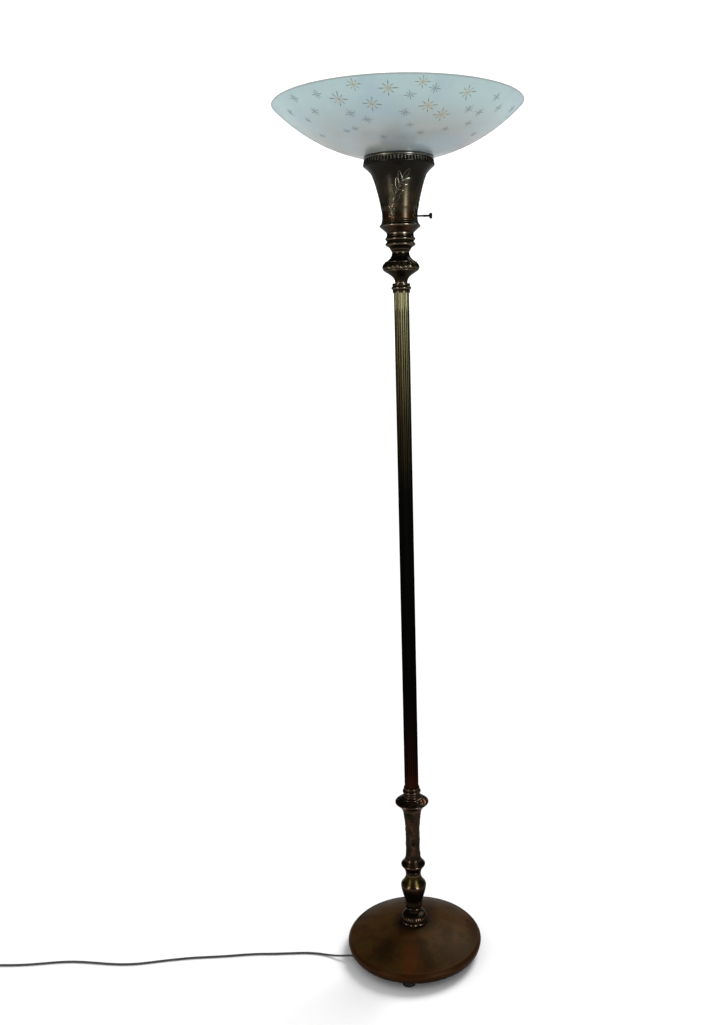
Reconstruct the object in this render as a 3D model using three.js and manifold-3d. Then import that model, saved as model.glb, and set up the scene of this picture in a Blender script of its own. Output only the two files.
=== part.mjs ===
// Torchiere floor lamp: a weighted round base, a stacked stem on one threaded pipe, a flared
// husk with a rotary-switch socket, and a shallow glass bowl that rests on the husk.
// Millimetres, +Z up. The origin is on the floor, on the lamp's axis. -Y is the front,
// the switch points along +X and the cord leaves towards -X.
import * as THREE from "three";
import { mergeVertices } from "three/addons/utils/BufferGeometryUtils.js";
import Module from "manifold-3d";

const wasm = await Module();
wasm.setup();

// ---- Driving dimensions ----

const clearance = 0.3; // gap between pieces that touch
const runningGap = 0.7; // round a piece that turns or slides past another
const roundSteps = 18; // facets round a turned piece
const fineSteps = 30; // facets round the widest pieces
const headSteps = 28; // facets round the husk and the rings on it
const shadeSteps = 40; // facets round the glass shade
const socketSteps = 16; // facets round the socket's and bulb's pieces
const smallSteps = 12; // facets round a screw, contact or foot

// Feet and base
const footCount = 4;
const footRadius = 14;
const footHeight = 16.9;
const footCircleRadius = 112;
const firstFootAngle = THREE.MathUtils.degToRad(-96.4);
const footScrewRadius = 2.2;
const footScrewHeadRadius = 4.2;
const footScrewHeadHeight = 3.5;
const footScrewRecess = 6;
const footScrewBite = 9; // how far the screw goes up into the weight
const baseRadius = 137;
const baseEdgeInset = 3; // how far the lower edge is drawn in
const baseShellBottom = 16;
const baseEdgeHeight = 18; // lower edge to the shoulder
const baseShoulderRadius = 130;
const baseDomeRise = 28.5;
const baseSeatRadius = 30; // flat at the middle of the dome
const baseShellWall = 1.5;
const weightRadius = 125;
const weightThickness = 12;
const weightHubRadius = 29;
const nutRecessRadius = 24;
const nutRecessDepth = 20;

// Pipe, nuts and washer
const pipeRadius = 5;
const pipeBoreRadius = 3.4;
const nutFlat = 14.3; // across flats
const nutHeight = 4;
const washerRadius = 16;
const washerThickness = 1.6;
const pipeEnd = 3; // pipe standing out beyond each nut

// Stem: the height of each stacked piece
const lobedRingHeight = 6.4;
const lobedRingRadius = 27.2;
const lobeCount = 8;
const lobeDepth = 1.8;
const bellHeight = 25.5;
const bellRadius = 26.8;
const stemNeckRadius = 12;
const vaseHeight = 54.5;
const vaseFootRadius = 18;
const vaseRadius = 25.6;
const collarHeight = 20;
const collarNeckRadius = 15.4;
const ringKnopHeight = 33;
const ringKnopRadius = 24.4;
const columnHeight = 109;
const columnWaistRadius = 14.2;
const columnHeadRadius = 20;
const discKnopHeight = 30;
const discKnopRadius = 33.6;
const ferruleHeight = 17;
const ferruleRadius = 18.3;
const ferruleLipRadius = 16.2;
const ferruleBead = 2.6;
const ferruleBeadHeight = 7; // middle of the bead above the closed end
const ferrulePocketDepth = 8;
const tubeLength = 983;
const tubeRadius = 14;
const tubeWall = 1.6;
const reedCount = 20;
const reedDepth = 1.1;
const upperKnopHeight = 54;
const upperKnopRadius = 33.5;
const upperKnopNeckRadius = 11.2;
const doubleRingHeight = 32;
const doubleRingRadius = 27;
const doubleRingBead = 3.4;
const doubleRingLow = 13.6; // middle of the lower bead above the seat
const doubleRingHigh = 23.4; // middle of the upper bead
const doubleRingNeckRadius = 15.6;

// Husk, its band and the gallery
const huskHeight = 118; // seat on the double ring to the widest edge
const huskFootRadius = 36.8;
const huskWaistRadius = 31.8;
const huskMouthRadius = 64.1;
const huskWall = 2;
const huskCollarRadius = 59.7; // inside the ribbed band
const bandHeight = 7.6;
const bandTopRadius = 62.3;
const galleryGroove = 1; // open groove between band and gallery
const galleryRadius = 62.5;
const galleryThickness = 3.8;
const galleryCollarRadius = 60;
const galleryCollarHeight = 14.5;
const galleryWall = 2.2;
const gallerySkirt = 6; // below the bead, inside the husk
const seatRingThickness = 1;

// Glass shade: a shallow bowl cut from a sphere
const shadeRimRadius = 221.6;
const shadeHeight = 86;
const shadeHoleGap = 0.8; // between the hole and the gallery's collar
const shadeGlass = 4;
const shadeLipSteps = 3;

// Socket, switch and bulb
const socketCapRadius = 18.4;
const socketCapHeight = 16;
const socketOverlap = 8; // of the shell inside the cap
const socketWall = 1;
const socketShellHeight = 67;
const socketLinerWall = 0.8;
const socketLinerDrop = 2; // below the top of the shell
const socketBodyHeight = 28;
const switchHeight = 28.5; // shaft above the husk's floor
const switchHoleRadius = 4;
const switchShaftRadius = 1.6;
const switchShaftReach = 49; // end of the shaft from the lamp's axis
const switchSpindle = 6; // inner end of the shaft from the axis
const knobStemRadius = 2.3;
const knobStemStart = 41.5;
const knobHeadRadius = 5.1;
const knobHeadStart = 52.3;
const knobHeadThickness = 5.6;
const screwShellHeight = 33;
const bulbCapRadius = 13.1;
const bulbCapHeight = 22;
const bulbLength = 135;
const bulbRadius = 33.5;
const bulbGlass = 1;
const contactRadius = 4.6;
const contactHeight = 3;
const contactTravel = 12; // room for the springy tongue under the bulb

// Cord and plug
const cordRadius = 2;
const cordFacets = 8;
const glandLength = 38;
const glandThickRadius = 4.5;
const glandThinRadius = 2.7;
const glandBore = cordRadius + clearance;
const cordExit = new THREE.Vector3(-127, -38.6, 11);
const glandHeading = THREE.MathUtils.degToRad(174);
const clampWidth = 10;
const clampWall = 1.2;
const clampFoot = 9;
const clampScrewRadius = 1.8;
const coilCentre = new THREE.Vector2(-897, -58.7);
const coilTurnRadius = 23; // middle of the turns
const coilWidth = 16;
const coilHeight = 13;
const coilCorner = 4; // rounding of the stack of turns
const coilLift = 1.6; // the tie passes under the coil
const tieWidth = 7;
const tieWall = 1;
const plugLength = 27;
const plugWidth = 21;
const plugHeight = 12;
const plugTaper = 5;
const plugBack = new THREE.Vector3(-930.5, -97, 6.1);
const leadLength = 33; // from the coil to the plug
const bladeLength = 17;
const bladeWidth = 6.3;
const bladeThickness = 1.5;
const bladeSpacing = 12.7;

// ---- Heights worked out from the pieces below ----

const weightBottom = footHeight + clearance;
const weightTop = weightBottom + weightThickness;
const nutRecessTop = weightBottom + nutRecessDepth;
const shoulderHeight = baseShellBottom + baseEdgeHeight;
const seatHeight = shoulderHeight + baseDomeRise;

const lobedRingSeat = seatHeight + clearance;
const bellSeat = lobedRingSeat + lobedRingHeight + clearance;
const vaseSeat = bellSeat + bellHeight + clearance;
const collarSeat = vaseSeat + vaseHeight + clearance;
const ringKnopSeat = collarSeat + collarHeight + clearance;
const columnSeat = ringKnopSeat + ringKnopHeight + clearance;
const discKnopSeat = columnSeat + columnHeight + clearance;
const lowerFerruleSeat = discKnopSeat + discKnopHeight + clearance;
const tubeBottom = lowerFerruleSeat + ferruleHeight - ferrulePocketDepth + clearance;
const tubeTop = tubeBottom + tubeLength;
const upperFerruleSeat = tubeTop + clearance - ferrulePocketDepth;
const upperKnopSeat = upperFerruleSeat + ferruleHeight + clearance;
const doubleRingSeat = upperKnopSeat + upperKnopHeight + clearance;
const huskSeat = doubleRingSeat + doubleRingHeight + clearance;
const huskFloor = huskSeat + huskWall;
const huskMouth = huskSeat + huskHeight;
const bandSeat = huskMouth + clearance;
const bandTop = bandSeat + bandHeight;
const gallerySeat = bandTop + galleryGroove;
const galleryTop = gallerySeat + galleryThickness;
const seatRingBottom = galleryTop + clearance;
const shadeBottom = seatRingBottom + seatRingThickness + clearance;
const shadeRim = shadeBottom + shadeHeight;
const shadeHoleRadius = galleryCollarRadius + shadeHoleGap;

const pipeNutBottom = huskFloor + clearance;
const socketCapBottom = pipeNutBottom + nutHeight + clearance;
const pipeTop = socketCapBottom + pipeEnd;
const washerBottom = nutRecessTop - clearance - washerThickness;
const baseNutBottom = washerBottom - clearance - nutHeight;
const pipeBottom = baseNutBottom - pipeEnd;
const switchAxis = huskFloor + switchHeight;

const socketShellRadius = socketCapRadius - socketWall - clearance;
const socketShellBottom = socketCapBottom + socketCapHeight - socketOverlap;
const socketShellTop = socketShellBottom + socketShellHeight;
const linerRadius = socketShellRadius - socketWall - clearance;
const linerTop = socketShellTop - socketLinerDrop;
const socketBodyRadius = linerRadius - socketLinerWall - clearance;
const socketBodyTop = socketShellBottom + socketBodyHeight;
const screwShellBottom = socketBodyTop + clearance;
const screwShellTop = screwShellBottom + screwShellHeight;
const bulbContactBottom = screwShellBottom + contactTravel;
const bulbCapBottom = bulbContactBottom + contactHeight;
const bulbCapTop = bulbCapBottom + bulbCapHeight;
const bulbTop = bulbContactBottom + bulbLength;

const boreRadius = pipeRadius + clearance;

// ---- Materials ----

const finish = (color, roughness, metalness) =>
  new THREE.MeshStandardMaterial({ color, roughness, metalness });
const castBronze = finish(0x2e2014, 0.42, 0.85);
const spunBronze = finish(0x3a2614, 0.4, 0.85);
const agedBrass = finish(0x5a4526, 0.4, 0.9);
const brightBrass = finish(0xb08a4a, 0.3, 0.95);
const iron = finish(0x2b2b2b, 0.7, 0.6);
const platedSteel = finish(0x9a9a96, 0.35, 0.95);
const frostedGlass = finish(0xb9cfd1, 0.35, 0);
const bulbWhite = finish(0xe9e7df, 0.4, 0);
const bakelite = finish(0x14110f, 0.35, 0);
const rubber = finish(0x1b1b1b, 0.7, 0);
const cordCover = finish(0x26262a, 0.65, 0);
const fibre = finish(0x5b5148, 0.85, 0);
const felt = finish(0x23241f, 0.95, 0);
const porcelain = finish(0xe6e0d2, 0.3, 0);

// ---- Shaping helpers ----

const lamp = new THREE.Group();
const at = (radius, height) => new THREE.Vector2(radius, height);

// A closed mesh as a manifold solid, for joins and cuts.
function solidOf(geometry) {
  const bare = geometry.index ? geometry.toNonIndexed() : geometry.clone();
  bare.deleteAttribute("normal");
  bare.deleteAttribute("uv");
  const merged = mergeVertices(bare, 1e-4);
  return new wasm.Manifold(
    new wasm.Mesh({
      numProp: 3,
      vertProperties: merged.attributes.position.array,
      triVerts: new Uint32Array(merged.index.array),
    }),
  );
}

function geometryOf(solid) {
  const mesh = solid.getMesh();
  return new THREE.BufferGeometry()
    .setAttribute("position", new THREE.BufferAttribute(mesh.vertProperties, mesh.numProp))
    .setIndex(new THREE.BufferAttribute(mesh.triVerts, 1));
}

const cut = (geometry, ...tools) =>
  geometryOf(tools.reduce((solid, tool) => solid.subtract(solidOf(tool)), solidOf(geometry)));

const join = (geometry, ...others) =>
  geometryOf(others.reduce((solid, other) => solid.add(solidOf(other)), solidOf(geometry)));

function addPiece(name, geometry, material) {
  geometry.computeVertexNormals();
  const mesh = new THREE.Mesh(geometry, material);
  mesh.name = name;
  lamp.add(mesh);
  return mesh;
}

// A round piece from its outer outline, listed from the bottom up, with a bore all the way
// through, or none when the radius of the bore is 0.
function turned(outline, bore, steps = roundSteps) {
  const first = outline[0];
  const last = outline[outline.length - 1];
  const profile = [at(bore, first.y), ...outline, at(bore, last.y)];
  if (bore > 0) profile.push(at(bore, first.y));
  return new THREE.LatheGeometry(profile, steps).rotateX(Math.PI / 2);
}

// A thin-walled round piece: an outer outline from the bottom up and an inner one back down.
function shelled(outer, inner, steps = roundSteps) {
  const profile = [...outer, ...inner, outer[0]];
  return new THREE.LatheGeometry(profile, steps).rotateX(Math.PI / 2);
}

// Points on a smooth curve through the given ones, lifted to the height of the piece's seat.
function smooth(points, seat = 0, stepsPerSpan = 1.34) {
  const curve = new THREE.SplineCurve(points);
  return curve
    .getPoints(Math.round((points.length - 1) * stepsPerSpan))
    .map((point) => at(point.x, point.y + seat));
}

// A half-round bead that stands out of a radius, centred on a height.
function bead(radius, height, size, steps = 3) {
  const arc = new THREE.Path().absarc(radius, height, size, -Math.PI / 2, Math.PI / 2, false);
  return arc.getPoints(steps);
}

// Points on a circle centred on the axis, through two points given from the axis outwards.
function domeArc(inner, outer, steps) {
  const centre =
    (outer.x ** 2 - inner.x ** 2 + outer.y ** 2 - inner.y ** 2) / (2 * (outer.y - inner.y));
  const radius = Math.hypot(inner.x, inner.y - centre);
  const side = Math.sign(inner.y - centre);
  const start = Math.asin(inner.x / radius);
  const end = Math.asin(outer.x / radius);
  return Array.from({ length: steps + 1 }, (_, step) => {
    const angle = start + ((end - start) * step) / steps;
    return at(radius * Math.sin(angle), centre + side * radius * Math.cos(angle));
  });
}

function disc(radius, bottom, top, steps = smallSteps) {
  return new THREE.CylinderGeometry(radius, radius, top - bottom, steps)
    .rotateX(Math.PI / 2)
    .translate(0, 0, (bottom + top) / 2);
}

function extruded(shape, depth) {
  return new THREE.ExtrudeGeometry(shape, { depth, bevelEnabled: false, curveSegments: smallSteps });
}

function roundTube(curve, radius, steps, facets = cordFacets) {
  const section = new THREE.Shape();
  for (let facet = 0; facet < facets; facet++) {
    const angle = (2 * Math.PI * facet) / facets;
    const corner = [radius * Math.cos(angle), radius * Math.sin(angle)];
    if (facet === 0) section.moveTo(...corner);
    else section.lineTo(...corner);
  }
  section.closePath();
  return new THREE.ExtrudeGeometry(section, { steps, bevelEnabled: false, extrudePath: curve });
}

function hexNut(bottom) {
  const corner = nutFlat / Math.sqrt(3);
  const outline = new THREE.Shape();
  for (let side = 0; side < 6; side++) {
    const angle = (Math.PI / 3) * side;
    const point = [corner * Math.cos(angle), corner * Math.sin(angle)];
    if (side === 0) outline.moveTo(...point);
    else outline.lineTo(...point);
  }
  outline.closePath();
  outline.holes.push(new THREE.Path().absarc(0, 0, boreRadius, 0, 2 * Math.PI, true));
  return extruded(outline, nutHeight).translate(0, 0, bottom);
}

// ---- Feet ----

const footPlaces = Array.from({ length: footCount }, (_, index) => {
  const angle = firstFootAngle + (2 * Math.PI * index) / footCount;
  return at(footCircleRadius * Math.cos(angle), footCircleRadius * Math.sin(angle));
});

function makeFoot() {
  const edge = 2.5;
  const outline = [
    at(footScrewHeadRadius + clearance, 0),
    at(footRadius - edge, 0),
    at(footRadius, edge),
    at(footRadius, footHeight),
  ];
  const hole = [
    at(footScrewRadius + clearance, footHeight),
    at(footScrewRadius + clearance, footScrewRecess),
    at(footScrewHeadRadius + clearance, footScrewRecess),
  ];
  return shelled(outline, hole, smallSteps);
}

function makeFootScrew() {
  const headBottom = footScrewRecess - clearance - footScrewHeadHeight;
  const headTop = headBottom + footScrewHeadHeight;
  const outline = [
    at(footScrewHeadRadius, headBottom),
    at(footScrewHeadRadius, headTop),
    at(footScrewRadius, headTop),
    at(footScrewRadius, weightBottom + footScrewBite),
  ];
  return turned(outline, 0, smallSteps);
}

footPlaces.forEach((place, index) => {
  addPiece(`foot_${index + 1}`, makeFoot(), rubber).position.set(place.x, place.y, 0);
  addPiece(`foot_screw_${index + 1}`, makeFootScrew(), platedSteel).position.set(place.x, place.y, 0);
});

// ---- Base ----

function makeBaseWeight() {
  const hubTop = seatHeight - baseShellWall - clearance;
  const outline = [
    at(nutRecessRadius, weightBottom),
    at(weightRadius - 1.5, weightBottom),
    at(weightRadius, weightBottom + 1.5),
    at(weightRadius, weightTop - 3),
    at(weightRadius - 3, weightTop),
    at(weightHubRadius + 9, weightTop + 2),
    at(weightHubRadius + 2, weightTop + 7),
    at(weightHubRadius, hubTop),
  ];
  const recess = [
    at(boreRadius, hubTop),
    at(boreRadius, nutRecessTop),
    at(nutRecessRadius, nutRecessTop),
  ];
  const screwHoles = footPlaces.map((place) =>
    disc(footScrewRadius + clearance, weightBottom - 5, weightTop + 5, 12).translate(place.x, place.y, 0),
  );
  return cut(shelled(outline, recess, fineSteps), ...screwHoles, clampScrewHole());
}

function makeBaseShell() {
  const lowerRadius = baseRadius - baseEdgeInset;
  const shoulder = at(baseShoulderRadius, shoulderHeight);
  const seat = at(baseSeatRadius, seatHeight);
  const edge = smooth([
    at(lowerRadius, baseShellBottom),
    at(baseRadius - 0.4, baseShellBottom + baseEdgeHeight * 0.35),
    at(baseRadius - 0.4, baseShellBottom + baseEdgeHeight * 0.7),
    at(baseRadius - 3, baseShellBottom + baseEdgeHeight * 0.93),
    shoulder,
  ]);
  const innerEdge = [
    at(baseShoulderRadius - baseShellWall, shoulderHeight - baseShellWall),
    at(baseRadius - baseShellWall - 1.5, baseShellBottom + baseEdgeHeight * 0.6),
    at(lowerRadius - baseShellWall, baseShellBottom),
  ];
  const innerSeat = at(baseSeatRadius, seatHeight - baseShellWall);
  const outer = [...edge, ...domeArc(seat, shoulder, 5).reverse().slice(1), at(boreRadius, seatHeight)];
  const inner = [
    at(boreRadius, seatHeight - baseShellWall),
    innerSeat,
    ...domeArc(innerSeat, innerEdge[0], 4).slice(1),
    ...innerEdge.slice(1),
  ];
  return shelled(outer, inner, fineSteps);
}

// ---- Cord gland, clamp and the cord inside the lamp ----

const glandDirection = new THREE.Vector3(Math.cos(glandHeading), Math.sin(glandHeading), 0);
const glandInner = cordExit.clone().addScaledVector(glandDirection, -glandLength);
const clampPlace = glandInner.clone().addScaledVector(glandDirection, clampWidth / 2 + 1);

// Turns a piece modelled along +Z at the origin so that it lies along the gland.
function alongGland(geometry, start) {
  const turn = new THREE.Quaternion().setFromUnitVectors(new THREE.Vector3(0, 0, 1), glandDirection);
  return geometry.applyQuaternion(turn).translate(start.x, start.y, start.z);
}

function makeCordGland() {
  const outline = [
    at(glandThickRadius - 0.6, 0),
    at(glandThickRadius, 0.8),
    at(glandThickRadius, clampWidth + 3),
    at(glandThinRadius, glandLength),
  ];
  return alongGland(turned(outline, glandBore, 16), glandInner);
}

function clampScrewPlace() {
  const sideways = new THREE.Vector3(-glandDirection.y, glandDirection.x, 0);
  return clampPlace.clone().addScaledVector(sideways, -(glandThickRadius + clampWall + clampFoot / 2));
}

function clampScrewHole() {
  const place = clampScrewPlace();
  const radius = clampScrewRadius + clearance;
  return disc(radius, weightBottom - 2, weightBottom + weightThickness * 0.7, 12).translate(place.x, place.y, 0);
}

// A strip bent under the gland, with a foot on each side against the weight.
function makeCordClamp() {
  const inner = glandThickRadius + clearance;
  const outer = inner + clampWall;
  const footTop = weightBottom - clearance - cordExit.z;
  const outline = new THREE.Shape();
  outline.moveTo(-outer - clampFoot, footTop);
  outline.lineTo(-outer - clampFoot, footTop - clampWall);
  outline.lineTo(-outer, footTop - clampWall);
  outline.absarc(0, 0, outer, Math.PI, 2 * Math.PI, false);
  outline.lineTo(outer, footTop - clampWall);
  outline.lineTo(outer + clampFoot, footTop - clampWall);
  outline.lineTo(outer + clampFoot, footTop);
  outline.lineTo(inner, footTop);
  outline.absarc(0, 0, inner, 0, Math.PI, true);
  outline.lineTo(-inner, footTop);
  outline.closePath();
  const strip = new THREE.ExtrudeGeometry(outline, { depth: clampWidth, bevelEnabled: false, curveSegments: 8 })
    .translate(0, 0, -clampWidth / 2)
    .rotateX(Math.PI / 2)
    .rotateZ(glandHeading - Math.PI / 2)
    .translate(clampPlace.x, clampPlace.y, clampPlace.z);
  const place = clampScrewPlace();
  const hole = disc(clampScrewRadius + clearance, 0, weightBottom, 12).translate(place.x, place.y, 0);
  return cut(strip, hole);
}

function makeClampScrew() {
  const place = clampScrewPlace();
  const headTop = weightBottom - clearance - clampWall - clearance;
  const outline = [
    at(clampScrewRadius + 1.9, headTop - 2.4),
    at(clampScrewRadius + 1.9, headTop),
    at(clampScrewRadius, headTop),
    at(clampScrewRadius, weightBottom + weightThickness * 0.6),
  ];
  return turned(outline, 0, 12).translate(place.x, place.y, 0);
}

// From the gland across the underside of the weight, up into the pipe and on to the socket.
function makeInnerCord() {
  const bend = 16;
  const start = glandInner.clone().addScaledVector(glandDirection, -clearance);
  const points = [
    start,
    new THREE.Vector3(-74, -41, cordExit.z),
    new THREE.Vector3(-52, -32, cordExit.z),
    new THREE.Vector3(-bend * 1.4, -bend * 0.88, cordExit.z),
    new THREE.Vector3(-bend * 0.55, -bend * 0.35, cordExit.z + bend * 0.2),
    new THREE.Vector3(-bend * 0.12, -bend * 0.08, cordExit.z + bend * 0.62),
    new THREE.Vector3(0, 0, pipeBottom + 4),
  ];
  const route = new THREE.CurvePath();
  route.add(new THREE.CatmullRomCurve3(points, false, "centripetal"));
  const top = new THREE.Vector3(0, 0, socketShellBottom - 1);
  const rise = new THREE.LineCurve3(new THREE.Vector3(0, 0, pipeBottom + 3.5), top);
  return join(roundTube(route, cordRadius, 24), roundTube(rise, cordRadius, 1));
}

// ---- Stem ----

function makeLobedRing() {
  const facetsPerLobe = 6;
  const outline = new THREE.Shape();
  const steps = lobeCount * facetsPerLobe;
  for (let step = 0; step < steps; step++) {
    const angle = (2 * Math.PI * step) / steps - Math.PI / 2;
    const swell = Math.abs(Math.cos((lobeCount * (angle + Math.PI / 2)) / 2));
    const radius = lobedRingRadius - lobeDepth + lobeDepth * swell;
    const point = [radius * Math.cos(angle), radius * Math.sin(angle)];
    if (step === 0) outline.moveTo(...point);
    else outline.lineTo(...point);
  }
  outline.closePath();
  outline.holes.push(new THREE.Path().absarc(0, 0, boreRadius, 0, 2 * Math.PI, true));
  return extruded(outline, lobedRingHeight).translate(0, 0, lobedRingSeat);
}

// A convex dome that draws in to the stem's neck.
function makeBellFoot() {
  const outline = smooth([
    at(bellRadius, 0),
    at(bellRadius - 0.4, bellHeight * 0.2),
    at(bellRadius - 3.6, bellHeight * 0.43),
    at(stemNeckRadius + 4.4, bellHeight * 0.6),
    at(stemNeckRadius, bellHeight * 0.82),
    at(stemNeckRadius + 1, bellHeight),
  ], bellSeat);
  return turned(outline, boreRadius);
}

function makeVase() {
  const beadSize = 1.1;
  const outline = [
    at(stemNeckRadius + 2, vaseSeat),
    ...bead(vaseFootRadius - beadSize, vaseSeat + 2, beadSize),
    ...smooth([
      at(vaseFootRadius - 0.6, 4.5),
      at(vaseFootRadius, 18),
      at(vaseFootRadius + 3.4, 29),
      at(vaseRadius - 1, 40),
      at(vaseRadius, 47.5),
      at(vaseRadius - 1.4, 52),
      at(vaseRadius - 3.6, vaseHeight),
    ], vaseSeat),
  ];
  return turned(outline, boreRadius);
}

function makeCollar() {
  const outline = smooth([
    at(vaseRadius - 4.2, 0),
    at(collarNeckRadius + 3.6, 5),
    at(collarNeckRadius + 0.9, 11),
    at(collarNeckRadius, 16),
    at(collarNeckRadius, collarHeight),
  ], collarSeat);
  return turned(outline, boreRadius);
}

function makeRingKnop() {
  const outline = smooth([
    at(collarNeckRadius, 0),
    at(collarNeckRadius + 1.4, 7),
    at(collarNeckRadius + 4.4, 13),
    at(ringKnopRadius, 20.5),
    at(collarNeckRadius + 4.2, 27.5),
    at(collarNeckRadius + 1.2, ringKnopHeight),
  ], ringKnopSeat);
  return turned(outline, boreRadius);
}

function makeColumn() {
  const outline = smooth([
    at(collarNeckRadius + 0.8, 0),
    at(columnWaistRadius + 0.4, 10),
    at(columnWaistRadius, 30),
    at(columnWaistRadius, 60),
    at(columnWaistRadius + 0.8, 76),
    at(columnWaistRadius + 2.6, 94),
    at(columnHeadRadius, columnHeight),
  ], columnSeat);
  return turned(outline, boreRadius);
}

function makeDiscKnop() {
  const outline = [
    ...smooth([at(columnHeadRadius + 1, 0), at(columnHeadRadius + 4.5, 5.5)], discKnopSeat, 1),
    ...smooth([
      at(discKnopRadius - 3.5, 9.5),
      at(discKnopRadius, 14),
      at(discKnopRadius - 4.6, 18.5),
      at(columnHeadRadius + 3.5, 22),
      at(columnHeadRadius, 25),
      at(ferruleRadius - 1, discKnopHeight),
    ], discKnopSeat),
  ];
  return turned(outline, boreRadius);
}

// A ring with a pocket that takes an end of the reeded tube. The pocket opens upwards.
function ferrule() {
  const pocketFloor = ferruleHeight - ferrulePocketDepth;
  const outline = [
    at(ferruleLipRadius - 0.4, 0),
    ...bead(ferruleRadius - ferruleBead, ferruleBeadHeight, ferruleBead),
    at(ferruleLipRadius, ferruleBeadHeight + ferruleBead + 0.9),
    at(ferruleLipRadius, ferruleHeight),
  ];
  const pocket = [
    at(tubeRadius + clearance, ferruleHeight),
    at(tubeRadius + clearance, pocketFloor),
    at(boreRadius, pocketFloor),
    at(boreRadius, 0),
  ];
  return shelled(outline, pocket);
}

const makeLowerFerrule = () => ferrule().translate(0, 0, lowerFerruleSeat);
const makeUpperFerrule = () =>
  ferrule()
    .rotateX(Math.PI)
    .translate(0, 0, upperFerruleSeat + ferruleHeight);

function makeReededTube() {
  const stepsPerReed = 4;
  const steps = reedCount * stepsPerReed;
  const outline = new THREE.Shape();
  for (let step = 0; step < steps; step++) {
    const angle = (2 * Math.PI * step) / steps;
    const crest = Math.abs(Math.sin((reedCount * angle) / 2));
    const radius = tubeRadius - reedDepth * (1 - crest);
    const point = [radius * Math.cos(angle), radius * Math.sin(angle)];
    if (step === 0) outline.moveTo(...point);
    else outline.lineTo(...point);
  }
  outline.closePath();
  const bore = tubeRadius - reedDepth - tubeWall;
  outline.holes.push(new THREE.Path().absarc(0, 0, bore, 0, 2 * Math.PI, true));
  return extruded(outline, tubeLength).translate(0, 0, tubeBottom);
}

function makeUpperKnop() {
  const outline = smooth([
    at(upperKnopNeckRadius, 0),
    at(upperKnopNeckRadius + 1.4, 6),
    at(upperKnopNeckRadius + 6, 12),
    at(upperKnopRadius - 5.3, 19),
    at(upperKnopRadius, 26.5),
    at(upperKnopRadius - 3, 34),
    at(upperKnopNeckRadius + 9.5, 41.5),
    at(doubleRingNeckRadius + 0.8, 48),
    at(doubleRingNeckRadius, upperKnopHeight),
  ], upperKnopSeat);
  return turned(outline, boreRadius);
}

function makeDoubleRing() {
  const core = doubleRingRadius - doubleRingBead;
  const outline = [
    ...smooth([at(doubleRingNeckRadius, 0), at(doubleRingNeckRadius + 3, 6.5)], doubleRingSeat, 1),
    ...bead(core, doubleRingSeat + doubleRingLow, doubleRingBead),
    at(core + 0.9, doubleRingSeat + (doubleRingLow + doubleRingHigh) / 2),
    ...bead(core, doubleRingSeat + doubleRingHigh, doubleRingBead),
    at(core, doubleRingSeat + doubleRingHeight),
  ];
  return turned(outline, boreRadius);
}

function makeLampPipe() {
  const outline = [at(pipeRadius, pipeBottom), at(pipeRadius, pipeTop)];
  return turned(outline, pipeBoreRadius, smallSteps);
}

const makeBaseWasher = () =>
  turned([at(washerRadius, washerBottom), at(washerRadius, washerBottom + washerThickness)], boreRadius, smallSteps);

// ---- Husk, band, gallery and glass ----

function makeHusk() {
  const outer = [
    ...smooth([at(24, 0), at(27, 5.5), at(huskFootRadius, 14), at(huskWaistRadius + 1.2, 21)], huskSeat),
    ...smooth([
      at(huskWaistRadius, 27),
      at(huskWaistRadius + 2, 46),
      at(huskWaistRadius + 7.8, 74),
      at(huskWaistRadius + 14.5, 96),
      at(huskWaistRadius + 21.3, huskHeight - 11),
      at(huskMouthRadius - 4.5, huskHeight - 4.5),
    ], huskSeat),
    at(huskMouthRadius, huskMouth - 1.5),
    at(huskMouthRadius, huskMouth),
    at(huskCollarRadius, huskMouth),
    at(huskCollarRadius, bandTop - clearance),
  ];
  const inner = [
    at(huskCollarRadius - huskWall, bandTop - clearance),
    at(huskCollarRadius - huskWall, huskMouth - 1.5),
    ...smooth([
      at(huskMouthRadius - 4.5 - huskWall, huskHeight - 5.5),
      at(huskWaistRadius + 20.6 - huskWall, huskHeight - 11),
      at(huskWaistRadius + 14.2 - huskWall, 96),
      at(huskWaistRadius + 7.6 - huskWall, 74),
      at(huskWaistRadius + 1.8 - huskWall, 46),
      at(huskWaistRadius - huskWall, 26),
      at(24, 8),
    ], huskSeat),
    at(22, huskFloor),
    at(boreRadius, huskFloor),
    at(boreRadius, huskSeat),
  ];
  const switchHole = disc(switchHoleRadius, 0, huskMouthRadius, 16)
    .rotateY(Math.PI / 2)
    .translate(0, 0, switchAxis);
  return cut(shelled(outer, inner, headSteps), switchHole);
}

function makeRibbedBand() {
  const outline = [at(huskMouthRadius, bandSeat), at(bandTopRadius, bandTop - 0.8), at(bandTopRadius - 0.8, bandTop)];
  return turned(outline, huskCollarRadius + clearance, headSteps);
}

function makeGallery() {
  const edge = galleryThickness / 2;
  const collarInner = galleryCollarRadius - galleryWall;
  const skirtRadius = huskCollarRadius - huskWall - clearance;
  const outer = [
    at(skirtRadius - galleryWall, gallerySeat - gallerySkirt),
    at(skirtRadius, gallerySeat - gallerySkirt),
    at(skirtRadius, gallerySeat),
    ...bead(galleryRadius - edge, gallerySeat + edge, edge),
    at(galleryCollarRadius, galleryTop),
    at(galleryCollarRadius, galleryTop + galleryCollarHeight - 1),
    at(galleryCollarRadius - 1, galleryTop + galleryCollarHeight),
  ];
  const inner = [
    at(collarInner, galleryTop + galleryCollarHeight),
    at(collarInner, galleryTop),
    at(skirtRadius - galleryWall, gallerySeat),
  ];
  return shelled(outer, inner, headSteps);
}

function makeSeatRing() {
  const outline = [at(galleryRadius - 0.8, seatRingBottom), at(galleryRadius - 0.8, seatRingBottom + seatRingThickness)];
  return turned(outline, galleryCollarRadius + clearance, headSteps);
}

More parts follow.
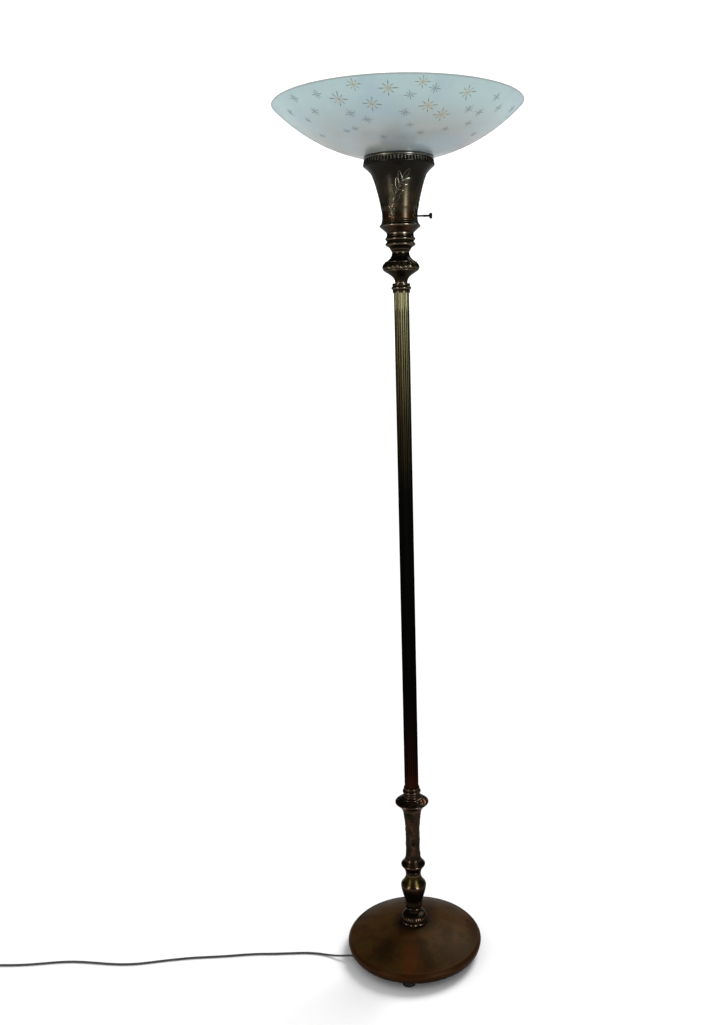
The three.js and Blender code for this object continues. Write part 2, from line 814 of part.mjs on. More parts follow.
function makeGlassShade() {
  const lip = shadeGlass / 2;
  const outer = domeArc(at(shadeHoleRadius, shadeBottom), at(shadeRimRadius, shadeRim - lip), 6);
  const innerRim = at(shadeRimRadius - shadeGlass, shadeRim - lip);
  const rim = new THREE.Path()
    .absarc(shadeRimRadius - lip, shadeRim - lip, lip, 0, Math.PI, false)
    .getPoints(shadeLipSteps)
    .slice(1, -1);
  const inner = domeArc(at(shadeHoleRadius, shadeBottom + shadeGlass), innerRim, 6).reverse();
  return shelled([...outer, ...rim], inner, shadeSteps);
}

// ---- Socket and switch ----

function shaftHole(radius) {
  return disc(radius, 0, huskMouthRadius, 12)
    .rotateY(Math.PI / 2)
    .translate(0, 0, switchAxis);
}

function makeSocketCap() {
  const neck = boreRadius + socketWall + 1;
  const top = socketCapBottom + socketCapHeight;
  const outer = [
    at(neck, socketCapBottom),
    at(neck, socketCapBottom + 3.5),
    ...smooth([at(neck + 4.5, 4.5), at(socketCapRadius - 0.5, 7.5), at(socketCapRadius, 9.5)], socketCapBottom),
    at(socketCapRadius, top),
  ];
  const inner = [
    at(socketCapRadius - socketWall, top),
    at(socketCapRadius - socketWall, socketShellBottom - 0.2),
    at(socketCapRadius - socketWall - 4.5, socketCapBottom + 5.6),
    at(boreRadius, socketCapBottom + 4.5),
    at(boreRadius, socketCapBottom),
  ];
  return cut(shelled(outer, inner, socketSteps), shaftHole(switchHoleRadius - 0.5));
}

function makeSocketShell() {
  const outline = [
    at(socketShellRadius, socketShellBottom),
    at(socketShellRadius, socketShellTop - 4),
    ...bead(socketShellRadius - 0.2, socketShellTop - 2.2, 1),
    at(socketShellRadius, socketShellTop),
  ];
  return cut(turned(outline, socketShellRadius - socketWall, socketSteps), shaftHole(switchHoleRadius - 0.8));
}

function makeSocketLiner() {
  const outline = [at(linerRadius, socketShellBottom), at(linerRadius, linerTop)];
  return cut(turned(outline, linerRadius - socketLinerWall, socketSteps), shaftHole(switchHoleRadius - 0.8));
}

function makeSocketBody() {
  const outline = [at(socketBodyRadius, socketShellBottom), at(socketBodyRadius, socketBodyTop)];
  const shaft = disc(switchShaftRadius + runningGap, switchSpindle - 1, huskMouthRadius, 12)
    .rotateY(Math.PI / 2)
    .translate(0, 0, switchAxis);
  return cut(turned(outline, 0, socketSteps), shaft);
}

function makeScrewShell() {
  const outline = [
    at(bulbCapRadius + runningGap + 0.8, screwShellBottom),
    at(bulbCapRadius + runningGap + 0.8, screwShellTop),
  ];
  return turned(outline, bulbCapRadius + runningGap, socketSteps);
}

// A springy tongue: flat on the socket body, then bent up to meet the bulb.
function makeCentreContact() {
  const wall = 0.8;
  const width = 6;
  const rise = bulbContactBottom - screwShellBottom - clearance;
  const outline = new THREE.Shape();
  outline.moveTo(-9, 0);
  outline.lineTo(5, 0);
  outline.lineTo(5, rise);
  outline.lineTo(-4, rise);
  outline.lineTo(-4, rise - wall);
  outline.lineTo(5 - wall, rise - wall);
  outline.lineTo(5 - wall, wall);
  outline.lineTo(-9, wall);
  outline.closePath();
  return new THREE.ExtrudeGeometry(outline, { depth: width, bevelEnabled: false })
    .translate(0, 0, -width / 2)
    .rotateX(Math.PI / 2)
    .translate(0, 0, screwShellBottom);
}

function alongSwitch(geometry) {
  return geometry.rotateY(Math.PI / 2).translate(0, 0, switchAxis);
}

function makeSwitchShaft() {
  return alongSwitch(disc(switchShaftRadius, switchSpindle, switchShaftReach, 16));
}

function makeSwitchKnob() {
  const bore = switchShaftRadius + 0.2;
  const outer = [
    at(knobStemRadius, knobStemStart),
    at(knobStemRadius, knobHeadStart),
    at(knobHeadRadius - 0.6, knobHeadStart),
    at(knobHeadRadius, knobHeadStart + 0.8),
    at(knobHeadRadius, knobHeadStart + knobHeadThickness - 1.4),
    at(knobHeadRadius - 1.4, knobHeadStart + knobHeadThickness),
    at(0, knobHeadStart + knobHeadThickness + 0.4),
  ];
  const inner = [at(0, switchShaftReach + 0.4), at(bore, switchShaftReach + 0.4), at(bore, knobStemStart)];
  const profile = [...outer, ...inner, outer[0]];
  return alongSwitch(new THREE.LatheGeometry(profile, 18).rotateX(Math.PI / 2));
}

// ---- Bulb ----

function makeBulbContact() {
  const outline = [
    at(contactRadius - 2.4, bulbContactBottom),
    at(contactRadius - 0.6, bulbContactBottom + 0.6),
    at(contactRadius, bulbContactBottom + 1.4),
    at(contactRadius, bulbCapBottom - clearance),
  ];
  return turned(outline, 0, smallSteps);
}

function makeBulbCap() {
  const wall = 0.6;
  const outer = [
    at(contactRadius + 2, bulbCapBottom),
    at(bulbCapRadius - 2, bulbCapBottom + 2.5),
    at(bulbCapRadius, bulbCapBottom + 4.5),
    at(bulbCapRadius, bulbCapTop),
  ];
  const inner = [
    at(bulbCapRadius - wall, bulbCapTop),
    at(bulbCapRadius - wall, bulbCapBottom + 5),
    at(bulbCapRadius - 2.8, bulbCapBottom + 3.4),
    at(contactRadius + 2, bulbCapBottom + 1),
  ];
  return shelled(outer, inner, socketSteps);
}

function makeBulbGlass() {
  const neck = bulbCapRadius - 0.3;
  const bottom = bulbCapTop + clearance;
  const height = bulbTop - bottom;
  const centre = height - bulbRadius;
  const crown = new THREE.Path().absarc(0, bottom + centre, bulbRadius, 0, Math.PI / 2, false);
  const crownInside = new THREE.Path().absarc(0, bottom + centre, bulbRadius - bulbGlass, Math.PI / 2, 0, true);
  const side = [at(neck, 0), at(neck + 0.8, centre * 0.2), at(bulbRadius * 0.74, centre * 0.62)];
  const sideInside = side.map((point) => at(point.x - bulbGlass, point.y));
  const outer = [...smooth([...side, at(bulbRadius, centre)], bottom), ...crown.getPoints(4).slice(1, -1), at(0, bulbTop)];
  const inner = [
    at(0, bulbTop - bulbGlass),
    ...crownInside.getPoints(4).slice(1, -1),
    ...smooth([...sideInside, at(bulbRadius - bulbGlass, centre)], bottom).reverse(),
  ];
  return shelled(outer, inner, socketSteps);
}

// ---- Free cord, stored coil and plug ----

// The loose cord's middle line: out of the gland, down to the floor and away to the coil.
const floorHeight = cordRadius + 0.1;
const cordPoints = [
  [-131, -38.1, 11],
  [-139, -36.7, 10.3],
  [-150, -33.6, 8],
  [-164, -28.4, 4.9],
  [-179, -22.6, 2.8],
  [-198, -17.3, floorHeight],
  [-222, -14, floorHeight],
  [-256, -14.2, floorHeight],
  [-289, -14.9, floorHeight],
  [-322, -14.6, floorHeight],
  [-352, -16.2, floorHeight],
  [-384, -19.2, floorHeight],
  [-420, -21.4, floorHeight],
  [-454, -23.2, floorHeight],
  [-488, -27, floorHeight],
  [-520, -31.7, floorHeight],
  [-546, -36.2, floorHeight],
  [-571, -39.4, floorHeight],
  [-597, -40, floorHeight],
  [-625, -37.8, floorHeight],
  [-656, -33.6, floorHeight],
  [-688, -29.8, floorHeight],
  [-712, -28.7, floorHeight],
  [-736, -29.9, floorHeight],
  [-758, -32.2, floorHeight],
  [-781, -34.5, floorHeight],
  [-804, -36.1, floorHeight],
  [-828, -36.4, floorHeight],
  [-850, -35.9, floorHeight],
  [-872, -35.7, floorHeight],
].map((point) => new THREE.Vector3(...point));

function makeCordRun() {
  const route = new THREE.CatmullRomCurve3([cordExit.clone().addScaledVector(glandDirection, clearance), ...cordPoints]);
  return roundTube(route, cordRadius, 52);
}

const coilBottom = coilLift;
const coilMiddle = coilBottom + coilHeight / 2;

function makeCordCoil() {
  const inner = coilTurnRadius - coilWidth / 2 + coilCorner;
  const outer = coilTurnRadius + coilWidth / 2 - coilCorner;
  const low = coilBottom + coilCorner;
  const high = coilBottom + coilHeight - coilCorner;
  const profile = new THREE.Path()
    .moveTo(inner, coilBottom)
    .absarc(outer, low, coilCorner, -Math.PI / 2, 0, false)
    .absarc(outer, high, coilCorner, 0, Math.PI / 2, false)
    .absarc(inner, high, coilCorner, Math.PI / 2, Math.PI, false)
    .absarc(inner, low, coilCorner, Math.PI, 1.5 * Math.PI, false)
    .getPoints(2);
  profile[profile.length - 1] = profile[0];
  return new THREE.LatheGeometry(profile, 24)
    .rotateX(Math.PI / 2)
    .translate(coilCentre.x, coilCentre.y, 0);
}

// A band round the coil's section, on the side away from the plug.
function makeCordTie() {
  const slack = 0.7;
  const halfWidth = coilWidth / 2 + slack;
  const halfHeight = coilHeight / 2 + clearance;
  const outline = new THREE.Shape();
  outline.moveTo(-halfWidth - tieWall, -halfHeight - tieWall);
  outline.lineTo(halfWidth + tieWall, -halfHeight - tieWall);
  outline.lineTo(halfWidth + tieWall, halfHeight + tieWall);
  outline.lineTo(-halfWidth - tieWall, halfHeight + tieWall);
  outline.closePath();
  const window = new THREE.Path();
  window.moveTo(-halfWidth, -halfHeight);
  window.lineTo(-halfWidth, halfHeight);
  window.lineTo(halfWidth, halfHeight);
  window.lineTo(halfWidth, -halfHeight);
  window.closePath();
  outline.holes.push(window);
  return new THREE.ExtrudeGeometry(outline, { depth: tieWidth, bevelEnabled: false })
    .translate(0, 0, -tieWidth / 2)
    .rotateX(Math.PI / 2)
    .translate(coilCentre.x + coilTurnRadius, coilCentre.y, coilMiddle);
}

// The last of the cord, from the outside of the coil to the back of the plug.
function makeCordLead() {
  const end = plugBack.clone().add(new THREE.Vector3(0, clearance, 0));
  const start = end.clone().add(new THREE.Vector3(0, leadLength, 0));
  return roundTube(new THREE.LineCurve3(start, end), cordRadius, 1);
}

// The plug lies beside the coil, its cord end towards +Y and its blades towards -Y.
const plugMiddle = plugBack.y - plugLength / 2;

function makePlugBody() {
  const half = plugWidth / 2;
  const back = plugLength / 2;
  const outline = new THREE.Shape();
  outline.moveTo(-half, -back);
  outline.lineTo(half, -back);
  outline.lineTo(half, back - plugTaper * 2);
  outline.quadraticCurveTo(half, back - plugTaper, plugTaper, back);
  outline.lineTo(-plugTaper, back);
  outline.quadraticCurveTo(-half, back - plugTaper, -half, back - plugTaper * 2);
  outline.closePath();
  const bevel = 1.5;
  return new THREE.ExtrudeGeometry(outline, {
    depth: plugHeight - 2 * bevel,
    bevelSize: bevel,
    bevelOffset: -bevel,
    bevelThickness: bevel,
    bevelSegments: 1,
    curveSegments: 4,
  }).translate(plugBack.x, plugMiddle, plugBack.z - plugHeight / 2 + bevel);
}

function makePlugBlade(side) {
  const tip = 1.2;
  const outline = new THREE.Shape();
  const half = bladeWidth / 2;
  outline.moveTo(0, -half);
  outline.lineTo(bladeLength - tip, -half);
  outline.lineTo(bladeLength, -half + tip);
  outline.lineTo(bladeLength, half - tip);
  outline.lineTo(bladeLength - tip, half);
  outline.lineTo(0, half);
  outline.closePath();
  return extruded(outline, bladeThickness)
    .translate(0, 0, -bladeThickness / 2)
    .rotateX(Math.PI / 2)
    .rotateZ(-Math.PI / 2)
    .translate(plugBack.x + (side * bladeSpacing) / 2, plugBack.y - plugLength - clearance, plugBack.z);
}

// ---- Assembly ----

addPiece("base_weight", makeBaseWeight(), iron);
addPiece("base_shell", makeBaseShell(), spunBronze);
addPiece("base_washer", makeBaseWasher(), platedSteel);
addPiece("base_nut", hexNut(baseNutBottom), platedSteel);
addPiece("cord_gland", makeCordGland(), rubber);
addPiece("cord_clamp", makeCordClamp(), platedSteel);
addPiece("clamp_screw", makeClampScrew(), platedSteel);
addPiece("inner_cord", makeInnerCord(), cordCover);

addPiece("lobed_ring", makeLobedRing(), castBronze);
addPiece("bell_foot", makeBellFoot(), castBronze);
addPiece("fluted_vase", makeVase(), castBronze);
addPiece("vase_collar", makeCollar(), agedBrass);
addPiece("ring_knop", makeRingKnop(), castBronze);
addPiece("leaf_column", makeColumn(), castBronze);
addPiece("disc_knop", makeDiscKnop(), castBronze);
addPiece("lower_ferrule", makeLowerFerrule(), castBronze);
addPiece("reeded_tube", makeReededTube(), spunBronze);
addPiece("upper_ferrule", makeUpperFerrule(), castBronze);
addPiece("upper_knop", makeUpperKnop(), castBronze);
addPiece("double_ring", makeDoubleRing(), castBronze);
addPiece("lamp_pipe", makeLampPipe(), platedSteel);
addPiece("pipe_nut", hexNut(pipeNutBottom), platedSteel);

addPiece("husk", makeHusk(), agedBrass);
addPiece("ribbed_band", makeRibbedBand(), castBronze);
addPiece("gallery", makeGallery(), agedBrass);
addPiece("shade_seat_ring", makeSeatRing(), felt);
addPiece("glass_shade", makeGlassShade(), frostedGlass);

addPiece("socket_cap", makeSocketCap(), brightBrass);
addPiece("socket_shell", makeSocketShell(), brightBrass);
addPiece("socket_liner", makeSocketLiner(), fibre);
addPiece("socket_body", makeSocketBody(), porcelain);
addPiece("screw_shell", makeScrewShell(), brightBrass);
addPiece("centre_contact", makeCentreContact(), brightBrass);
addPiece("switch_shaft", makeSwitchShaft(), brightBrass);
addPiece("switch_knob", makeSwitchKnob(), bakelite);

addPiece("bulb_contact", makeBulbContact(), platedSteel);
addPiece("bulb_cap", makeBulbCap(), platedSteel);
addPiece("bulb_glass", makeBulbGlass(), bulbWhite);

addPiece("cord_run", makeCordRun(), cordCover);
addPiece("cord_coil", makeCordCoil(), cordCover);
addPiece("cord_tie", makeCordTie(), rubber);
addPiece("cord_lead", makeCordLead(), cordCover);
addPiece("plug_body", makePlugBody(), bakelite);
addPiece("plug_blade_1", makePlugBlade(-1), brightBrass);
addPiece("plug_blade_2", makePlugBlade(1), brightBrass);

export default lamp;
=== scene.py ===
import math

import bpy
import numpy as np
from bpy.props import FloatProperty, FloatVectorProperty, IntProperty, PointerProperty
from mathutils import Euler, Matrix, Vector


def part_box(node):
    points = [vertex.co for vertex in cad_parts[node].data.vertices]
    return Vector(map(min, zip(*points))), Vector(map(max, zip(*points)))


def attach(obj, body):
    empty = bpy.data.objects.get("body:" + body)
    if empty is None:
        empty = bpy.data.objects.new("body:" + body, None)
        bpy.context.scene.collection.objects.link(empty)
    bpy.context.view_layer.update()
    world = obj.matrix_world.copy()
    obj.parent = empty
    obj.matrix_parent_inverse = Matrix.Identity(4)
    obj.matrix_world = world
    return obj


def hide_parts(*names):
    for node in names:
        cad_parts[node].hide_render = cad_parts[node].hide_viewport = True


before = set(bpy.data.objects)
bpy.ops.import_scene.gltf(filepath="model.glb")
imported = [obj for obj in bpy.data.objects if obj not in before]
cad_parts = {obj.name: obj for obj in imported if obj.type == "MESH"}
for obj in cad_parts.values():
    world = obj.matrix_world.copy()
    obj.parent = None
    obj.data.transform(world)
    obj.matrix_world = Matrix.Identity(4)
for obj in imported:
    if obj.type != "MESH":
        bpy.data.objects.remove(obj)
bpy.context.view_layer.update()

bl_info = {
    "name": "Torchiere Floor Lamp",
    "version": (1, 0, 0),
    "blender": (4, 5, 0),
    "location": "3D View > Sidebar > Lamp",
    "description": "Builds the visible pieces and finishes of a torchiere floor lamp on its frame",
    "category": "Object",
}

MM = 0.001
FRONT = math.radians(-96.4)  # the side that the first foot and the front spray stand on
JOINT = 1e-6  # points closer than this are one point
PIPE_BORE = 5.3  # radius in millimetres of the hole that each stem piece has for the pipe
FINISHES = {}  # every material by its name, made before the pieces

# ---------------------------------------------------------------- sizes and colours


class ViewSettings(bpy.types.PropertyGroup):
    """Where the lamp is looked at from."""

    distance: FloatProperty(
        name="Distance", description="From the lamp's axis to the camera", default=1.79188, unit="LENGTH"
    )
    height: FloatProperty(name="Height", description="Of the camera", default=1.26021, unit="LENGTH")
    tilt: FloatProperty(
        name="Tilt", description="How far the camera looks down",
        default=math.radians(10.718), subtype="ANGLE",
    )
    turn: FloatProperty(
        name="Turn", description="How far the camera looks to the right", default=math.radians(-0.336),
        subtype="ANGLE",
    )
    roll: FloatProperty(
        name="Roll", description="Of the camera about its own axis",
        default=math.radians(-1.24), subtype="ANGLE",
    )
    lens: FloatProperty(name="Lens", description="Focal length in millimetres", default=33.695)
    shift: FloatProperty(name="Shift", description="Sideways shift of the lens", default=-0.0409)


class ShadeSettings(bpy.types.PropertyGroup):
    """The glass bowl and its stars."""

    glass: FloatProperty(
        name="Glass", description="Thickness of the glass", default=4 * MM, unit="LENGTH"
    )
    star: FloatProperty(
        name="Star", description="Radius of a large star", default=17 * MM, unit="LENGTH"
    )
    tint: FloatVectorProperty(
        name="Glass tint", description="Colour of the frosted glass",
        default=(0.410, 0.555, 0.560), subtype="COLOR",
    )
    gold: FloatVectorProperty(
        name="Gold", description="Colour of the stars' hearts",
        default=(0.50, 0.36, 0.12), subtype="COLOR",
    )
    ray: FloatVectorProperty(
        name="Ray", description="Colour of the stars' cut rays",
        default=(0.036, 0.034, 0.017), subtype="COLOR",
    )


class MetalSettings(bpy.types.PropertyGroup):
    """Counts, depths and colours of the metalwork."""

    reeds: IntProperty(name="Reeds", description="Round the long tube", default=20)
    reed_depth: FloatProperty(
        name="Reed depth", description="Of the tube's reeds", default=1.1 * MM, unit="LENGTH"
    )
    ribs: IntProperty(name="Ribs", description="Round the band at the husk's mouth", default=64)
    flutes: IntProperty(name="Flutes", description="Round the vase", default=16)
    lobes: IntProperty(name="Lobes", description="Round the ring on the base", default=8)
    sprays: IntProperty(name="Sprays", description="Sprays of leaves round the husk", default=4)
    # Also the colour of the painted shade at the husk's mouth and of the painted shadow round the foot of
    # the stem.
    dark: FloatVectorProperty(
        name="Dark bronze", description="The patina in the hollows",
        default=(0.004, 0.003, 0.002), subtype="COLOR",
    )
    brown: FloatVectorProperty(
        name="Brown bronze", description="The patina on the faces",
        default=(0.016, 0.012, 0.006), subtype="COLOR",
    )
    olive: FloatVectorProperty(
        name="Olive brass", description="Where the patina is thin",
        default=(0.085, 0.075, 0.035), subtype="COLOR",
    )
    rubbed: FloatVectorProperty(
        name="Rubbed brass", description="Worn high edges",
        default=(0.12, 0.092, 0.060), subtype="COLOR",
    )
    red: FloatVectorProperty(
        name="Red brown", description="Reddish lacquer low on the lamp",
        default=(0.034, 0.009, 0.005), subtype="COLOR",
    )


class CordSettings(bpy.types.PropertyGroup):
    """The supply cord."""

    length: FloatProperty(name="Length", description="Of the whole cord", default=2.4, unit="LENGTH")
    diameter: FloatProperty(name="Diameter", description="Of the cord", default=4 * MM, unit="LENGTH")
    colour: FloatVectorProperty(
        name="Cord", description="Colour of the cord's covering",
        default=(0.030, 0.030, 0.034), subtype="COLOR",
    )


# ---------------------------------------------------------------- places read from the frame


def seat(node):
    """The height in millimetres that a piece stands at."""
    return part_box(node)[0].z / MM


def head(node):
    """The height in millimetres that a piece reaches."""
    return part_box(node)[1].z / MM


def reach(node):
    """The largest radius in millimetres of a round piece on the lamp's axis."""
    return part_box(node)[1].x / MM


def middle(node):
    """The middle of a node's box, in metres."""
    low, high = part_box(node)
    return (low + high) / 2


# ---------------------------------------------------------------- outlines


def flowing(points, spacing=1.2):
    """Points at even steps along the smooth curve through the given ones."""
    knots = [Vector(p) for p in points]
    spans = [(end - start).length for start, end in zip(knots, knots[1:])]
    slopes = [(end - start) / span for start, end, span in zip(knots, knots[1:], spans)]
    tangents = [slopes[0]]
    for index in range(1, len(knots) - 1):
        before, after = spans[index - 1], spans[index]
        tangents.append((slopes[index - 1] * after + slopes[index] * before) / (before + after))
    tangents.append(slopes[-1])
    path = [knots[0]]
    for index, span in enumerate(spans):
        steps = max(2, math.ceil(span / spacing))
        for step in range(1, steps + 1):
            t = step / steps
            path.append(
                knots[index] * (2 * t**3 - 3 * t**2 + 1)
                + tangents[index] * span * (t**3 - 2 * t**2 + t)
                + knots[index + 1] * (3 * t**2 - 2 * t**3)
                + tangents[index + 1] * span * (t**3 - t**2)
            )
    return path


def straight(start, end, spacing=2.0):
    """Points at even steps from start to end."""
    start, end = Vector(start), Vector(end)
    steps = max(1, math.ceil((end - start).length / spacing))
    return [start.lerp(end, step / steps) for step in range(steps + 1)]


def bead(radius, height, size, start=-90, end=90, steps=10):
    """A rounded ring standing out from a radius, as points of an outline."""
    return [
        (radius + size * math.cos(a), height + size * math.sin(a))
        for a in (math.radians(start + (end - start) * step / steps) for step in range(steps + 1))
    ]


def raised(points, height):
    """The same outline at another height."""
    return [(p[0], p[1] + height) for p in points]


def bored(points, bore=PIPE_BORE):
    """An outline closed along a bore of the given radius."""
    bottom, top = points[0][1], points[-1][1]
    return [(bore, bottom), *points, (bore, top), (bore, bottom)]


def convexity(points, span=2.0):
    """How far each point of a closed outline stands out from the outline either side, in millimetres."""
    flat = np.array([(p[0], p[1]) for p in points])
    travelled = np.concatenate([[0], np.cumsum(np.hypot(*np.diff(flat, axis=0).T))])

    def at(place):
        return np.column_stack([np.interp(place, travelled, flat[:, axis]) for axis in (0, 1)])

    before, after = at(travelled - span), at(travelled + span)
    across = after - before
    outward = np.column_stack([across[:, 1], -across[:, 0]])
    outward /= np.maximum(np.hypot(*outward.T), JOINT)[:, None]
    area = (flat[:-1, 0] * flat[1:, 1] - flat[1:, 0] * flat[:-1, 1]).sum()
    return ((flat - (before + after) / 2) * outward).sum(1) * np.sign(area)


# ---------------------------------------------------------------- shaping


def clear_selection():
    bpy.ops.object.select_all(action="DESELECT")


def pick(piece):
    """Makes a piece the only one selected, and the active one."""
    clear_selection()
    piece.select_set(True)
    bpy.context.view_layer.objects.active = piece


def named(piece, name):
    piece.name = name
    piece.data.name = name
    return piece


def places_of(piece):
    """A piece's points as an array, in metres."""
    flat = np.empty(len(piece.data.vertices) * 3)
    piece.data.vertices.foreach_get("co", flat)
    return flat.reshape(-1, 3)


def put_places(piece, places):
    piece.data.vertices.foreach_set("co", places.ravel())
    piece.data.update()


def add_relief(piece, values):
    """Adds to the piece's own record of how far each point stands up or lies low."""
    mesh = piece.data
    layer = mesh.attributes.get("relief") or mesh.attributes.new("relief", "FLOAT", "POINT")
    held = np.empty(len(mesh.vertices))
    layer.data.foreach_get("value", held)
    layer.data.foreach_set("value", held + values)


def turned(name, outline, steps=72, sharp=40, wear=1.0):
    """A piece turned about the lamp's axis from an outline of radius and height in millimetres.

    Wear is how much its edges count as high places.
    """
    outline = [Vector(p) for p in outline]
    outline = [p for i, p in enumerate(outline) if i == 0 or (p - outline[i - 1]).length > 0.01]
    clear_selection()
    bpy.ops.mesh.primitive_plane_add(size=MM, location=(0, 0, 0))
    piece = named(bpy.context.object, name)
    bpy.ops.object.mode_set(mode="EDIT")
    bpy.ops.mesh.select_mode(type="VERT")
    bpy.ops.mesh.select_all(action="SELECT")
    bpy.ops.mesh.merge(type="CENTER")
    bpy.ops.transform.translate(value=(outline[0][0] * MM, 0, outline[0][1] * MM))
    for start, end in zip(outline, outline[1:]):
        move = ((end[0] - start[0]) * MM, 0, (end[1] - start[1]) * MM)
        bpy.ops.mesh.extrude_region_move(TRANSFORM_OT_translate={"value": move})
    bpy.ops.mesh.select_all(action="SELECT")
    bpy.ops.mesh.spin(steps=steps, angle=math.tau, center=(0, 0, 0), axis=(0, 0, 1))
    bpy.ops.mesh.select_all(action="SELECT")
    bpy.ops.mesh.remove_doubles(threshold=JOINT)
    bpy.ops.mesh.normals_make_consistent(inside=False)
    bpy.ops.object.mode_set(mode="OBJECT")
    stand_out = convexity(outline)
    profile = np.array([(p[0], p[1]) for p in outline]) * MM
    places = places_of(piece)
    here = np.column_stack([np.hypot(places[:, 0], places[:, 1]), places[:, 2]])
    nearest = np.empty(len(here), int)
    for first in range(0, len(here), 4096):
        block = here[first : first + 4096]
        nearest[first : first + 4096] = ((block[:, None] - profile[None]) ** 2).sum(2).argmin(1)
    add_relief(piece, stand_out[nearest] * wear)
    soften(piece, sharp)
    return piece


def block(name, centre, size):
    """A box of the given size in metres, to be shaped further."""
    clear_selection()
    bpy.ops.mesh.primitive_cube_add(size=1, location=centre, scale=size)
    piece = named(bpy.context.object, name)
    bpy.ops.object.transform_apply(location=True, rotation=True, scale=True)
    return piece


def soften(piece, sharp=40):
    """Shades a piece smooth, with edges sharper than the angle kept crisp."""
    pick(piece)
    bpy.ops.object.shade_smooth_by_angle(angle=math.radians(sharp))


def press(piece, rule):
    """Moves points along their radius by the rule's millimetres at an angle, height and radius."""
    places = places_of(piece)
    radius = np.hypot(places[:, 0], places[:, 1])
    angle = np.arctan2(places[:, 1], places[:, 0])
    depth = rule(angle, places[:, 2] / MM, radius / MM)
    scale = (radius + depth * MM) / np.maximum(radius, JOINT)
    places[:, 0] *= scale
    places[:, 1] *= scale
    put_places(piece, places)
    return depth


def moved(piece, place, turn=(0, 0, 0)):
    """Turns a piece and carries it to its place, and writes both into its mesh."""
    pick(piece)
    piece.rotation_euler = Euler(turn)
    piece.location = place
    bpy.ops.object.transform_apply(location=True, rotation=True, scale=True)
    return piece


def copied(piece, name):
    """A copy of a piece with a mesh of its own."""
    pick(piece)
    bpy.ops.object.duplicate(linked=False)
    return named(bpy.context.object, name)


def joined(pieces, name):
    """Several objects as one."""
    clear_selection()
    for piece in pieces:
        piece.select_set(True)
    bpy.context.view_layer.objects.active = pieces[0]
    if len(pieces) > 1:
        bpy.ops.object.join()
    return named(bpy.context.object, name)


def bevelled(piece, width, segments=2, angle=30):
    """Rounds a piece's edges."""
    pick(piece)
    bevel = piece.modifiers.new("Rounded edges", "BEVEL")
    bevel.width = width
    bevel.segments = segments
    bevel.limit_method = "ANGLE"
    bevel.angle_limit = math.radians(angle)
    bpy.ops.object.modifier_apply(modifier=bevel.name)
    return piece


def thickened(piece, thickness):
    """Gives a flat piece a thickness, inwards from its face."""
    pick(piece)
    solid = piece.modifiers.new("Thickness", "SOLIDIFY")
    solid.thickness = thickness
    solid.offset = -1
    bpy.ops.object.modifier_apply(modifier=solid.name)
    return piece


def settle(piece, finish, *nodes, slot=None, body="lamp"):
    """Gives a finished piece its material and body, and hides the nodes that it stands for. The slot is
    not used.
    """
    piece.data.materials.clear()
    piece.data.materials.append(FINISHES[finish])
    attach(piece, body)
    if nodes:
        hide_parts(*nodes)
    return piece


def step_between(values, low, high):
    """0 below low, 1 above high and smooth between."""
    t = np.clip((values - low) / (high - low), 0, 1)
    return t * t * (3 - 2 * t)


# ---------------------------------------------------------------- shader maths


class Signal:
    """A shader socket that takes part in Python sums."""

    def __init__(self, finish, socket):
        self.finish = finish
        self.socket = socket

    def maths(self, operation, first, second):
        return self.finish.node("ShaderNodeMath", {"operation": operation}, {0: first, 1: second})

    def __add__(self, other):
        return self.maths("ADD", self, other)

    __radd__ = __add__

    def __sub__(self, other):
        return self.maths("SUBTRACT", self, other)

    def __rsub__(self, other):
        return self.maths("SUBTRACT", other, self)

    def __mul__(self, other):
        return self.maths("MULTIPLY", self, other)

    __rmul__ = __mul__

    def __pow__(self, other):
        return self.maths("POWER", self, other)

    def between(self, low, high):
        """0 at low, 1 at high and smooth between."""
        settings = {"interpolation_type": "SMOOTHSTEP"}
        return self.finish.node(
            "ShaderNodeMapRange", settings, {"Value": self, "From Min": low, "From Max": high}
        )


